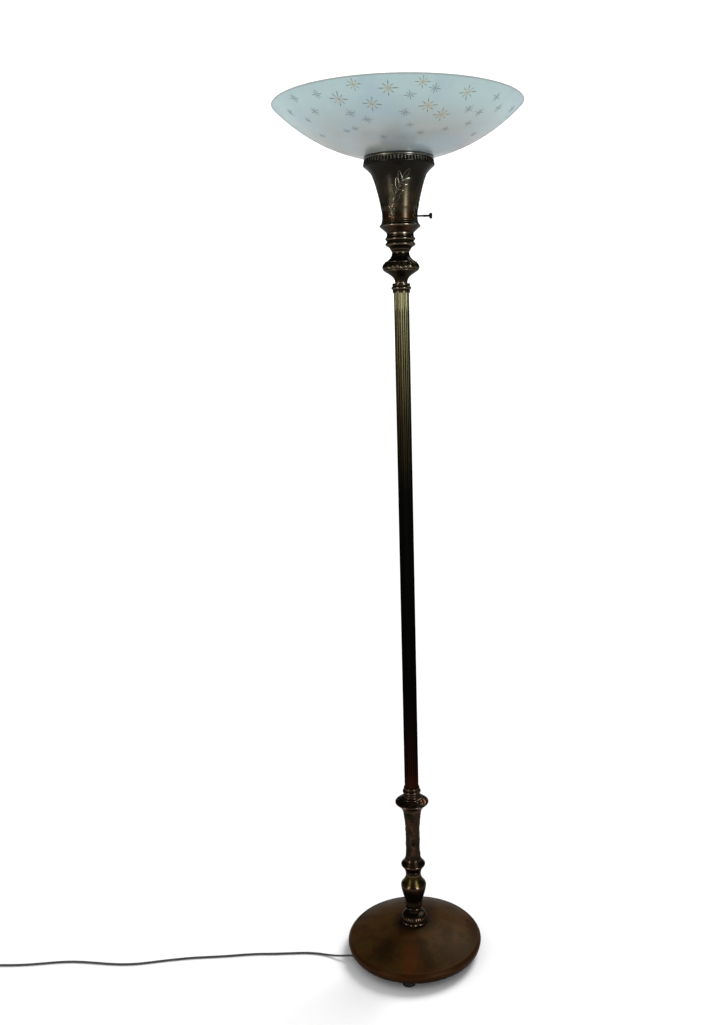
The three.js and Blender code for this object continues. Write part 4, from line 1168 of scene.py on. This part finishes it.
def leaf_relief(across, height, leaves, stem):
    """Depths and edge lines, in millimetres, of raised leaves and their stem on an unrolled surface."""
    depth = np.zeros_like(height)
    edge = np.zeros_like(height)
    for at_across, at_up, direction, length, width in leaves:
        heading = math.radians(direction)
        dx, dy = across - at_across, height - at_up
        along = (dx * math.cos(heading) + dy * math.sin(heading)) / length
        aside = np.abs(dy * math.cos(heading) - dx * math.sin(heading))
        inside = (along > 0) & (along < 1)
        half = width / 2 * np.sin(math.pi * np.clip(along, 0, 1) ** 0.85) ** 0.75
        body = np.sqrt(np.clip(1 - (aside / np.maximum(half, 0.01)) ** 2, 0, 1)) * inside
        vein = np.exp(-((aside / 0.35) ** 2)) * inside
        covers = body > 0
        depth = np.where(covers, np.maximum(depth, 0.55 * body - 0.25 * vein), depth)
        outline = np.exp(-(((aside - half) / 0.4) ** 2)) * inside
        edge = np.where(covers & (body > 0.6), 0.5 * vein, np.maximum(edge, outline))
    for place in flowing(stem, 1.0):
        away = np.hypot(across - place[0], height - place[1])
        depth = np.maximum(depth, 0.6 * np.sqrt(np.clip(1 - (away / 1.1) ** 2, 0, 1)))
        edge = np.maximum(edge, 0.7 * np.exp(-((away / 0.7) ** 2)))
    return depth, edge


def repeated(angle, count, start=FRONT):
    """The angle inside one of several equal cells round the axis, 0 at each cell's middle."""
    cell = math.tau / count
    return (angle - start + cell / 2) % cell - cell / 2


class LAMP_OT_husk(bpy.types.Operator):
    """Makes the flared husk with its sprays of leaves, and the ribbed band at its mouth"""

    bl_idname = "lamp.husk"
    bl_label = "Husk"

    def execute(self, context):
        self.make_husk(context.scene.lamp_metal.sprays)
        self.make_band(context.scene.lamp_metal.ribs)
        return {"FINISHED"}

    @staticmethod
    def make_husk(sprays):
        low, mouth = seat("husk"), seat("ribbed_band") - 0.3
        flare = [(31.9, 26.5), (31.9, 31), (32.5, 39), (33.9, 45), (35.0, 53), (36.1, 59), (37.4, 65)]
        flare += [(39.6, 74), (42.1, 83), (44.9, 92), (47.2, 98), (50.6, 104), (56.3, 110.2)]
        flare += [(60.4, 113.8), (63.4, 116.4)]
        foot = [(24.4, 0), (24.6, 1.6), (26.4, 3.2), (29.6, 6.2), (33.4, 9.4), (36.4, 12.2), (36.9, 13.8)]
        foot += [(36.2, 15.0), (34.6, 16.4)]
        outer = flowing(foot, 0.9)
        outer += bead(33.0, 17.9, 1.0, -60, 80, 6)
        outer += bead(32.1, 21.3, 0.9, -70, 80, 6) + bead(31.7, 24.2, 0.8, -70, 80, 6)
        outer += flowing(flare, 0.8)
        outer += [(63.9, 117.3), (63.9, mouth - low)]
        wall = 2.0
        collar = 59.7  # radius of the neck that the band is pushed over
        inner_top = head("husk") - low
        inner = [(collar, mouth - low), (collar, inner_top), (collar - wall, inner_top)]
        inner += [(collar - wall, 115.5)]
        inner += [(radius - wall, height) for radius, height in reversed(flare[:-2])]
        inner += [(29.9, 20), (32, 13), (26, 4.5), (22, 2), (PIPE_BORE, 2)]
        outline = raised([(PIPE_BORE, 0), *outer, *inner, (PIPE_BORE, 0)], low)
        husk = turned("husk", outline, 400, sharp=35, wear=0.35)

        stem = [(-19, 1446), (-16, 1458), (-12, 1472), (-7, 1486), (-1, 1499), (6, 1511), (10, 1519)]
        leaves = spray(stem, 7, 18, 5.6)
        places = places_of(husk) / MM
        height, radius = places[:, 2], np.hypot(places[:, 0], places[:, 1])
        unrolled = 37.0  # radius at which the sprays are drawn flat
        across = repeated(np.arctan2(places[:, 1], places[:, 0]), sprays) * unrolled
        depth, edge = leaf_relief(across, height, leaves, stem)
        flare_radius = np.interp(height, [low + p[1] for p in flare], [p[0] for p in flare])
        lowest, highest = stem[0][1] + 13, stem[-1][1] + 23
        outside = (height > lowest) & (height < highest) & (np.abs(radius - flare_radius) < 0.8)
        press(husk, lambda *_: depth * outside)
        # Painted shade: the top of the husk under the ribbed band counts as a hollow and takes the dark
        # colour, where the band meets it.
        painted_shade_rim = height > low + 115
        # The leaf outlines and veins count as high places and take the worn colour: partly wear, partly a
        # painted highlight along the raised edges.
        add_relief(husk, (edge * 0.44 - depth * 0.06) * outside - 0.5 * painted_shade_rim)
        settle(husk, "husk_bronze", "husk", slot="aged_brass")

    @staticmethod
    def make_band(ribs):
        low, high = seat("ribbed_band"), head("ribbed_band")
        bottom, top = 63.8, 62.3
        outer = [(60.0, low), (bottom - 0.3, low), (bottom, low + 0.3)]
        outer += straight((bottom - 0.05, low + 0.7), (top + 0.1, high - 0.6), 0.7)
        outer += [(top, high - 0.3), (top - 0.3, high), (60.0, high), (60.0, low)]
        band = turned("ribbed_band", outer, ribs * 8, wear=0.0)

        def rib(angle, height, radius):
            wave = np.cos(repeated(angle, ribs) * ribs)
            ribbed = (radius > 61) & (height > low + 0.6) & (height < high - 0.5)
            return np.where(ribbed, 0.5 * wave - 0.5, 0.0)

        depth = press(band, rib)
        add_relief(band, np.where(depth < -JOINT, depth + 0.5, 0.0))
        settle(band, "husk_bronze", "ribbed_band", slot="cast_bronze")


class LAMP_OT_gallery(bpy.types.Operator):
    """Makes the gallery that holds the bowl, with its bead and tall collar"""

    bl_idname = "lamp.gallery"
    bl_label = "Gallery"

    def execute(self, context):
        low, high = seat("gallery"), head("gallery")
        shelf = seat("shade_seat_ring") - 0.3
        outer = [(57.0, low), (59.3, low), (59.3, shelf - 3.9)]
        outer += bead(60.6, shelf - 1.9, 1.9, -90, 90, 12)
        outer += [(60.0, shelf), *straight((60.0, shelf + 0.5), (60.0, high - 1.2), 2.0)]
        outer += bead(59.0, high - 1.0, 1.0, 0, 180, 8)
        outer += [(57.8, high - 3), (57.0, shelf), (57.0, low)]
        gallery = turned("gallery", outer, 144)
        settle(gallery, "aged_brass", "gallery")
        low, high = seat("shade_seat_ring"), head("shade_seat_ring")
        ring = [(60.4, low), (61.5, low), (61.7, (low + high) / 2), (61.5, high)]
        pad = turned("seat_pad", [*ring, (60.4, high), (60.4, low)], 96)
        settle(pad, "felt", "shade_seat_ring")
        return {"FINISHED"}


# ---------------------------------------------------------------- the stem


def stem_piece(name, outline, finish, slot, steps=96, rule=None, weight=0.5):
    """A cast piece threaded on the pipe: turned from its outline above its seat, then carved."""
    low = seat(name)
    piece = turned(name, raised(bored(outline), low), steps)
    if rule:

        def carved(angle, height, radius):
            return np.where(radius > PIPE_BORE + 1, rule(angle, height - low, radius), 0.0)

        add_relief(piece, press(piece, carved) * weight)
    return settle(piece, finish, name, slot=slot)


class LAMP_OT_upper_stem(bpy.types.Operator):
    """Makes the double ring, the knop and the ferrule under the husk"""

    bl_idname = "lamp.upper_stem"
    bl_label = "Upper stem"

    def execute(self, context):
        self.make_double_ring()
        self.make_knop()
        self.make_ferrule()
        return {"FINISHED"}

    @staticmethod
    def make_double_ring():
        outline = flowing([(15.6, 0), (16.6, 2.4), (18.4, 4.6), (19.6, 7.4), (21.8, 9.4)], 0.8)
        outline += flowing([(24.6, 10.6), (26.9, 12.4), (27.4, 14.0), (26.6, 15.6), (25.0, 17.4)], 0.7)
        outline += [(24.3, 18.2), (24.3, 19.6)]
        outline += flowing([(25.6, 20.6), (27.0, 22.0), (27.3, 23.2), (26.6, 25.0), (25.2, 26.6)], 0.7)
        outline += bead(24.0, 28.3, 1.0, -70, 70, 6)
        outline += [(24.3, 30.4), (24.4, 32.0)]
        stem_piece("double_ring", outline, "upper_bronze", "cast_bronze")

    @staticmethod
    def make_knop():
        neck = flowing([(11.2, 0), (11.5, 3), (12.2, 6), (14.1, 9.4), (17.5, 12.8), (22.2, 16.3)], 0.9)
        belly = flowing([(27.4, 19.4), (31.0, 21.8)], 0.9) + bead(31.2, 22.8, 0.8, -60, 60, 5)
        belly += flowing([(32.4, 23.8), (33.5, 26.4), (33.4, 29.5), (32.2, 32.6), (30.4, 35.2)], 0.8)
        belly += bead(28.6, 37.0, 0.8, -60, 70, 5)
        shoulder = [(27.2, 37.9), (23.0, 40.8), (19.4, 44.2), (17.1, 47.8), (15.9, 51.6), (15.6, 54)]
        outline = neck + belly + flowing(shoulder, 0.9)

        def wreath(angle, height, radius):
            """A low wreath of leaves between the two beads."""
            inside = step_between(height, 24.0, 25.0) * (1 - step_between(height, 34.2, 35.4))
            slant = repeated(angle + (height - 29.5) * 0.012, 18) * 18
            return inside * (0.32 * np.cos(slant) + 0.18 * np.cos(2 * slant + height * 0.9) - 0.1)

        stem_piece("upper_knop", outline, "upper_bronze", "cast_bronze", 216, wreath, weight=0.25)

    @staticmethod
    def make_ferrule():
        """A collar with a rounded ring that takes the top of the reeded tube."""
        stem_ferrule("upper_ferrule", False)


def stem_ferrule(name, opens_upwards):
    """A ferrule with a pocket for one end of the reeded tube."""
    low, high = seat(name), head(name)
    tube = 14.3
    pocket = 8.0
    outer = [(15.6, 0), (16.0, 0.4), (16.0, 1.6)]
    outer += bead(15.3, 3.0, 1.3, -70, 60, 6)
    outer += bead(15.4, 8.2, 2.9, -75, 75, 12)
    outer += bead(15.2, 12.6, 1.0, -70, 70, 6)
    outer += [(15.9, 14.4), (15.9, 16.6), (15.6, 17.0)]
    inner = [(tube, 17.0), (tube, 17.0 - pocket), (PIPE_BORE, 17.0 - pocket)]
    outline = [(PIPE_BORE, 0), *outer, *inner, (PIPE_BORE, 0)]
    if not opens_upwards:
        outline = [(p[0], high - low - p[1]) for p in outline]
    piece = turned(name, raised(outline, low), 96)
    finish = "lower_bronze" if opens_upwards else "upper_bronze"
    settle(piece, finish, name, slot="cast_bronze")


class LAMP_OT_tube(bpy.types.Operator):
    """Makes the long reeded tube"""

    bl_idname = "lamp.tube"
    bl_label = "Reeded tube"

    def execute(self, context):
        metal = context.scene.lamp_metal
        low, high = seat("reeded_tube"), head("reeded_tube")
        radius, bore = 14.0, 11.3
        rows = [(radius, low + (high - low) * step / 24) for step in range(25)]
        outline = [(bore, low), *rows, (bore, high), (bore, low)]
        tube = turned("reeded_tube", outline, metal.reeds * 10, sharp=50)

        def reeds(angle, height, at_radius):
            crest = np.abs(np.cos(repeated(angle, metal.reeds) * metal.reeds / 2)) ** 0.8
            return np.where(at_radius > radius - 1, -metal.reed_depth / MM * (1 - crest), 0.0)

        depth = press(tube, reeds)
        add_relief(tube, 0.3 + depth * 0.5)
        soften(tube, 50)
        settle(tube, "tube_bronze", "reeded_tube")
        return {"FINISHED"}


class LAMP_OT_lower_stem(bpy.types.Operator):
    """Makes the cast pieces between the reeded tube and the base"""

    bl_idname = "lamp.lower_stem"
    bl_label = "Lower stem"

    def execute(self, context):
        metal = context.scene.lamp_metal
        stem_ferrule("lower_ferrule", True)
        self.make_disc_knop()
        self.make_leaf_column()
        self.make_ring_knop()
        self.make_collar()
        self.make_vase(metal.flutes)
        self.make_bell()
        self.make_lobed_ring(metal.lobes)
        return {"FINISHED"}

    @staticmethod
    def make_disc_knop():
        under = [(19.4, 0), (20.6, 0.4), (21.4, 2.4), (21.6, 3.4)]
        under += bead(22.4, 5.4, 1.3, -70, 50, 6) + flowing([(24.6, 6.6), (27.4, 9.0), (30.8, 12.2)], 0.8)
        rim = flowing([(32.2, 13.4), (33.5, 14.9), (33.5, 16.2), (32.2, 17.6)], 0.6)
        top = flowing([(30.0, 18.9), (26.6, 20.9), (23.4, 23.2)], 0.7) + bead(20.4, 24.9, 1.2, -40, 80, 6)
        top += [(19.0, 27.0), (17.9, 28.4), (17.6, 30.0)]

        def scrolls(angle, height, radius):
            """Beads under the rim and radial leaves over it."""
            beads = np.exp(-(((height - 5.6) / 1.2) ** 2)) * np.cos(repeated(angle, 36) * 36) * 0.5
            leaves = step_between(height, 17.4, 18.6) * (1 - step_between(height, 22.4, 23.6))
            petal = repeated(angle + (radius - 28) * 0.03, 14) * 14
            return beads + leaves * (0.7 * np.cos(petal) + 0.3 * np.cos(3 * petal))

        stem_piece("disc_knop", under + rim + top, "lower_bronze", "cast_bronze", 216, scrolls)

    @staticmethod
    def make_leaf_column():
        shaft = [(16.7, 0), (15.5, 3.5), (14.8, 9), (14.3, 15), (14.2, 32), (14.2, 60)]
        outline = flowing([*shaft, (14.6, 71), (15.3, 80), (16.2, 89)], 0.9)
        outline += bead(16.1, 91.4, 0.9, -60, 60, 5)
        outline += flowing([(16.9, 93), (17.7, 99), (18.5, 103.4), (19.6, 107.4), (20.0, 109)], 0.9)
        stem = [(-6, 8), (4, 24), (-5, 42), (4, 60), (-2, 78)]
        leaves = spray(stem, 6, 15, 5.6, spread=30)

        def climbing_leaves(angle, height, radius):
            window = step_between(height, 6, 9) * (1 - step_between(height, 86, 89))
            depth, edge = leaf_relief(repeated(angle, 3) * 14.6, height, leaves, stem)
            return (depth * 0.9 + edge * 0.35) * window

        stem_piece("leaf_column", outline, "lower_bronze", "cast_bronze", 216, climbing_leaves)

    @staticmethod
    def make_ring_knop():
        outline = flowing([(15.4, 0), (15.4, 3.0), (15.7, 4.4)], 0.8) + bead(15.4, 5.8, 1.0, -60, 60, 6)
        outline += flowing([(16.0, 7.4), (17.1, 9.8), (19.3, 13.6), (21.9, 17.4)], 0.8)
        upper = [(23.4, 18.8), (24.5, 20.8), (24.3, 22.4), (22.6, 24.4), (20.4, 27.2), (18.2, 30.2)]
        outline += flowing([*upper, (17.1, 33)], 0.8)

        def ticks(angle, height, radius):
            band = step_between(height, 10, 12) * (1 - step_between(height, 17, 18.4))
            return band * 0.35 * np.cos(repeated(angle, 24) * 24)

        stem_piece("ring_knop", outline, "lower_bronze", "cast_bronze", 192, ticks)

    @staticmethod
    def make_collar():
        cone = [(23.9, 0), (22.6, 1.9), (19.8, 5.9), (17.6, 9.9), (16.1, 13.9), (15.5, 17.6), (15.4, 20)]
        stem_piece("vase_collar", flowing(cone, 0.8), "collar_brass", "aged_brass")

    @staticmethod
    def make_vase(flutes):
        foot = [(13.6, 0), (16.6, 0.2)] + bead(16.6, 1.6, 1.3, -80, 80, 8)
        foot += [(16.4, 3.2), (16.4, 4.2)]
        swell = [(20.1, 24.8), (22.5, 32.8), (24.5, 40.8), (25.3, 45.6), (25.6, 49)]
        body = flowing([(17.6, 5.2), (18.1, 8), (18.1, 19), *swell], 0.9)
        body += flowing([(25.7, 50.4), (25.4, 52.4), (24.4, 54.5)], 0.6)

        def fluting(angle, height, radius):
            band = step_between(height, 6, 10) * (1 - step_between(height, 43, 47))
            groove = np.abs(np.cos(repeated(angle, flutes) * flutes / 2)) ** 0.7
            return -band * 0.9 * (1 - groove)

        outline, steps = foot + body, flutes * 12
        stem_piece("fluted_vase", outline, "lower_bronze", "cast_bronze", steps, fluting, weight=0.6)

    @staticmethod
    def make_bell():
        outline = [(26.2, 0), (27.0, 0.5), (27.1, 1.6), (26.4, 2.3), (25.6, 2.8)]
        cup = [(26.0, 3.8), (25.8, 6.0), (24.4, 9.4), (21.6, 12.4), (18.0, 14.6), (15.0, 16.2)]
        outline += flowing(cup, 0.7)
        outline += flowing([(13.2, 17.4), (12.3, 19.4), (12.0, 22.0), (12.6, 24.2), (13.2, 25.5)], 0.7)

        def gadroons(angle, height, radius):
            band = step_between(height, 3.4, 5) * (1 - step_between(height, 14.6, 16.4))
            return band * (0.45 * np.abs(np.cos(repeated(angle, 28) * 14)) - 0.2)

        stem_piece("bell_foot", outline, "lower_bronze", "cast_bronze", 224, gadroons)

    @staticmethod
    def make_lobed_ring(lobes):
        outline = flowing([(25.4, 0), (26.9, 0.9), (27.4, 2.6), (26.9, 4.6), (25.4, 6.4)], 0.5)

        def lobed(angle, height, radius):
            swell = np.abs(np.cos(repeated(angle, lobes) * lobes / 2))
            return np.where(radius > 20, 2.0 * (swell - 0.9), 0.0)

        stem_piece("lobed_ring", outline, "lower_bronze", "cast_bronze", lobes * 24, lobed, weight=0.25)


# ---------------------------------------------------------------- the base


class LAMP_OT_base(bpy.types.Operator):
    """Makes the domed base, its weight and its feet"""

    bl_idname = "lamp.base"
    bl_label = "Base"

    def execute(self, context):
        self.make_shell()
        self.make_weight()
        self.make_feet()
        return {"FINISHED"}

    @staticmethod
    def dome(outer, edge, steps=64):
        """Points down a dome from its flat seat to its edge."""
        (seat_radius, top), (edge_radius, bottom) = outer, edge
        centre = (seat_radius**2 - edge_radius**2 + top**2 - bottom**2) / (2 * (top - bottom))
        sphere = math.hypot(seat_radius, top - centre)
        radii = [seat_radius + (edge_radius - seat_radius) * step / steps for step in range(steps + 1)]
        return [(r, centre + math.sqrt(sphere**2 - r * r)) for r in radii]

    def make_shell(self):
        low, high = seat("base_shell"), head("base_shell")
        wall = 1.5
        outer = [(PIPE_BORE, high), (30, high)]
        outer += self.dome((30, high), (127.6, low + 19.3))[1:]
        bead_top = [(128.6, 18.9), (129.8, 18.9), (131.2, 18.3), (132.8, 16.8)]
        bulge = [(134.9, 14.6), (136.6, 12.0), (136.9, 9.6), (136.2, 5.4), (134.8, 1.2), (134.2, 0.2)]
        outer += raised(flowing(bead_top, 0.5) + flowing(bulge, 0.9), low)
        outer += [(133.6, low), (132.9, low + 0.2)]
        lining = [(133.2, 1.2), (134.7, 5.4), (135.3, 9.6), (134.6, 12), (131.2, 15.6), (127.6, 17.6)]
        inner = raised(flowing(lining, 2), low)
        inner += list(reversed(self.dome((30, high - wall), (126.6, low + 17.9), 24)))
        inner += [(PIPE_BORE, high - wall), (PIPE_BORE, high)]
        shell = turned("base_shell", outer + inner, 240, sharp=50)
        settle(shell, "spun_bronze", "base_shell")

    @staticmethod
    def make_weight():
        """A cast iron disc with a hub, a recess for the nut and rounded edges."""
        low, high = seat("base_weight"), head("base_weight")
        disc = 12.0
        hub, recess, radius = 29.0, 24.0, reach("base_weight")
        outline = [(recess, low), (radius - 2, low), (radius, low + 2)]
        outline += [(radius, low + disc - 2), (radius - 2, low + disc)]
        outline += flowing([(hub + 8, low + disc), (hub + 2, low + disc + 3), (hub, low + disc + 9)], 2)
        outline += [(hub, high - 1), (hub - 1, high), (PIPE_BORE, high)]
        outline += [(PIPE_BORE, low + 20), (recess, low + 20), (recess, low)]
        weight = turned("base_weight", outline, 96)
        settle(weight, "cast_iron", "base_weight")

    @staticmethod
    def make_feet():
        """Rubber feet with a rolled edge and a recess for the screw, all from one."""
        low, high = seat("foot_1"), head("foot_1")
        outline = [(6, low), *flowing([(11.4, low), (13.0, low + 0.8), (13.6, low + 2.6)], 0.6)]
        side = [(13.2, low + 5.4), (12.6, low + 9), (13.0, low + 12.6), (14.0, low + 14.6), (14.0, high)]
        outline += flowing(side, 1)
        outline += [(2.5, high), (2.5, low + 6), (6, low + 6), (6, low)]
        pattern = turned("foot", outline, 48)
        for number in range(1, 5):
            node = f"foot_{number}"
            centre = middle(node)
            foot = copied(pattern, f"rubber_foot_{number}")
            moved(foot, (centre.x, centre.y, 0))
            settle(foot, "rubber", node)
        bpy.data.objects.remove(pattern)


# ---------------------------------------------------------------- socket, bulb and switch


class LAMP_OT_socket(bpy.types.Operator):
    """Makes the socket's cap and shell, the bulb and the switch knob"""

    bl_idname = "lamp.socket"
    bl_label = "Socket, bulb and switch"

    def execute(self, context):
        self.make_cap()
        self.make_shell()
        self.make_bulb()
        self.make_screw_shell()
        self.make_switch()
        return {"FINISHED"}

    @staticmethod
    def make_cap():
        low, high = seat("socket_cap"), head("socket_cap")
        radius = reach("socket_cap")
        outline = [(PIPE_BORE, low), *flowing([(10, low), (14.6, low + 1.6), (17.6, low + 5.4)], 1)]
        outline += [(radius - 0.4, low + 7), *bead(radius - 1.1, low + 9, 1.1, -80, 80, 6)]
        outline += [(radius - 0.6, low + 11), (radius - 0.6, high)]
        outline += [(radius - 1.1, high), (radius - 1.1, low + 6), (13.6, low + 2.6)]
        outline += [(9.6, low + 1), (PIPE_BORE, low + 1), (PIPE_BORE, low)]
        cap = turned("socket_cap", outline, 64)
        settle(cap, "bright_brass", "socket_cap")

    @staticmethod
    def make_shell():
        low, high = seat("socket_shell"), head("socket_shell")
        radius, wall = 17.0, 0.8
        outer = [(radius - 0.9, low), (radius - 0.2, low + 1), (radius - 0.2, high - 30)]
        outer += bead(radius - 0.7, high - 28, 1.1, -80, 80, 6)
        outer += [(radius - 0.2, high - 25), (radius - 0.2, high - 4)]
        outer += bead(radius - 0.4, high - 2.2, 1.2, -70, 120, 8)
        inner = [(radius - 0.2 - wall, high - 2), (radius - 0.2 - wall, low + 1.2)]
        shell = turned("socket_shell", [*outer, *inner, (radius - 0.9, low)], 64)
        settle(shell, "bright_brass", "socket_shell")

    @staticmethod
    def thread(low, high, radius, depth, pitch=3.63):
        """A screwed stretch of an outline, as a wave of crests."""
        steps = max(8, round((high - low) / pitch * 8))
        points = []
        for step in range(steps + 1):
            height = low + (high - low) * step / steps
            wave = math.cos(math.tau * (height - low) / pitch)
            points.append((radius - depth / 2 * (1 - wave), height))
        return points

    def make_bulb(self):
        low, high = seat("bulb_cap"), head("bulb_cap")
        radius = reach("bulb_cap")
        outline = [(0, low), (4.4, low), (6.6, low + 1.2), (10.6, low + 2.6)]
        outline += self.thread(low + 3.6, high - 3.6, radius, 1.2)
        outline += [(radius - 0.6, high - 2.6), (radius, high), (0, high)]
        cap = turned("bulb_cap", outline, 64)
        settle(cap, "plated_steel", "bulb_cap", body="bulb")
        low, high = seat("bulb_glass"), head("bulb_glass")
        wide = reach("bulb_glass")
        crown = 34  # height of the round top over the widest place
        neck = [(12.4, low), (13.2, low + 8), (15.6, low + 22)]
        envelope = flowing([*neck, (21.6, low + 40), (29.6, low + 58), (wide, high - crown)], 1.6)
        quarter = [
            (wide * math.cos(math.radians(a)), high - crown + crown * math.sin(math.radians(a)))
            for a in range(5, 90, 5)
        ]
        glass = turned("bulb_glass", [(0, low), *envelope, *quarter, (0, high)], 64)
        settle(glass, "bulb_glass", "bulb_glass", body="bulb")

    def make_screw_shell(self):
        low, high = seat("screw_shell"), head("screw_shell")
        radius = reach("screw_shell")
        outer = self.thread(low + 1, high - 2, radius, 0.8)
        inner = [(p[0] - 0.35, p[1]) for p in reversed(outer)]
        outline = [*outer, (radius, high), (radius - 0.4, high), *inner, outer[0]]
        shell = turned("screw_shell", outline, 64)
        settle(shell, "bright_brass", "screw_shell")

    @staticmethod
    def make_switch():
        """A thin shaft, brass on the lamp but finished black here, and a black knob with a stem and a
        flared, fluted head.
        """
        low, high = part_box("switch_knob")
        axis = (low.z + high.z) / 2
        start, end = low.x / MM, high.x / MM
        length = end - start
        outline = [(1.7, 0), (1.9, 0), (2.0, 0.4), (1.9, length - 6.4)]
        outline += flowing([(2.4, length - 5.9), (4.2, length - 5.0), (5.0, length - 4.0)], 0.4)
        crown = [(5.1, length - 3.0), (5.0, length - 1.2), (4.2, length - 0.3), (2.6, length)]
        outline += flowing(crown, 0.4)
        outline += [(0, length), (0, 7.5), (1.7, 7.5), (1.7, 0)]
        knob = turned("switch_knob", outline, 120)

        def grips(angle, height, radius):
            band = (height > length - 4.4) & (height < length - 1.0) & (radius > 4.4)
            return np.where(band, 0.16 * np.cos(repeated(angle, 20) * 20), 0.0)

        press(knob, grips)
        moved(knob, (start * MM, 0, axis), (0, math.radians(90), 0))
        settle(knob, "bakelite", "switch_knob", body="switch")
        low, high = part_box("switch_shaft")
        length = (high.x - low.x) / MM
        rod = [(0, 0), (1.3, 0), (1.6, 0.3), *straight((1.6, 0.6), (1.6, length - 0.3), 8)]
        shaft = turned("switch_shaft", [*rod, (1.3, length), (0, length)], 32)
        moved(shaft, (low.x, 0, axis), (0, math.radians(90), 0))
        settle(shaft, "bakelite", "switch_shaft", slot="bright_brass", body="switch")


class LAMP_OT_hardware(bpy.types.Operator):
    """Gives the hidden fittings their materials"""

    bl_idname = "lamp.hardware"
    bl_label = "Hidden fittings"

    def execute(self, context):
        nodes = {
            "plated_steel": [
                "base_washer",
                "base_nut",
                "cord_clamp",
                "clamp_screw",
                "lamp_pipe",
                "pipe_nut",
                *[f"foot_screw_{number}" for number in range(1, 5)],
                "bulb_contact",
            ],
            "cord_cover": ["inner_cord"],
            "fibre": ["socket_liner"],
            "porcelain": ["socket_body"],
            "bright_brass": ["centre_contact"],
        }
        for finish, names in nodes.items():
            for name in names:
                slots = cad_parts[name].data.materials
                slots.clear()
                slots.append(FINISHES[finish])
        return {"FINISHED"}


class LAMP_PT_pieces(bpy.types.Panel):
    """Lists the lamp's pieces and its sizes"""

    bl_idname = "LAMP_PT_pieces"
    bl_label = "Floor lamp"
    bl_space_type = "VIEW_3D"
    bl_region_type = "UI"
    bl_category = "Lamp"

    def draw(self, context):
        for operator in STEPS:
            self.layout.operator(operator.bl_idname)
        for settings in ("lamp_shade", "lamp_metal", "lamp_cord", "lamp_view"):
            group = getattr(context.scene, settings)
            column = self.layout.column()
            for name in group.__annotations__:
                column.prop(group, name)


SETTINGS = {
    "lamp_view": ViewSettings,
    "lamp_shade": ShadeSettings,
    "lamp_metal": MetalSettings,
    "lamp_cord": CordSettings,
}
STEPS = [
    LAMP_OT_view,
    LAMP_OT_cord,
    LAMP_OT_shade,
    LAMP_OT_gallery,
    LAMP_OT_husk,
    LAMP_OT_upper_stem,
    LAMP_OT_tube,
    LAMP_OT_lower_stem,
    LAMP_OT_base,
    LAMP_OT_socket,
    LAMP_OT_hardware,
    LAMP_OT_stage,
]


def register():
    for group in SETTINGS.values():
        bpy.utils.register_class(group)
    for name, group in SETTINGS.items():
        setattr(bpy.types.Scene, name, PointerProperty(type=group))
    for operator in STEPS:
        bpy.utils.register_class(operator)
    bpy.utils.register_class(LAMP_PT_pieces)


def unregister():
    bpy.utils.unregister_class(LAMP_PT_pieces)
    for operator in reversed(STEPS):
        bpy.utils.unregister_class(operator)
    for name, group in SETTINGS.items():
        delattr(bpy.types.Scene, name)
        bpy.utils.unregister_class(group)


def main():
    register()
    FINISHES.update(make_finishes())
    for operator in STEPS:
        group, name = operator.bl_idname.split(".")
        getattr(getattr(bpy.ops, group), name)()


if __name__ == "__main__":
    main()
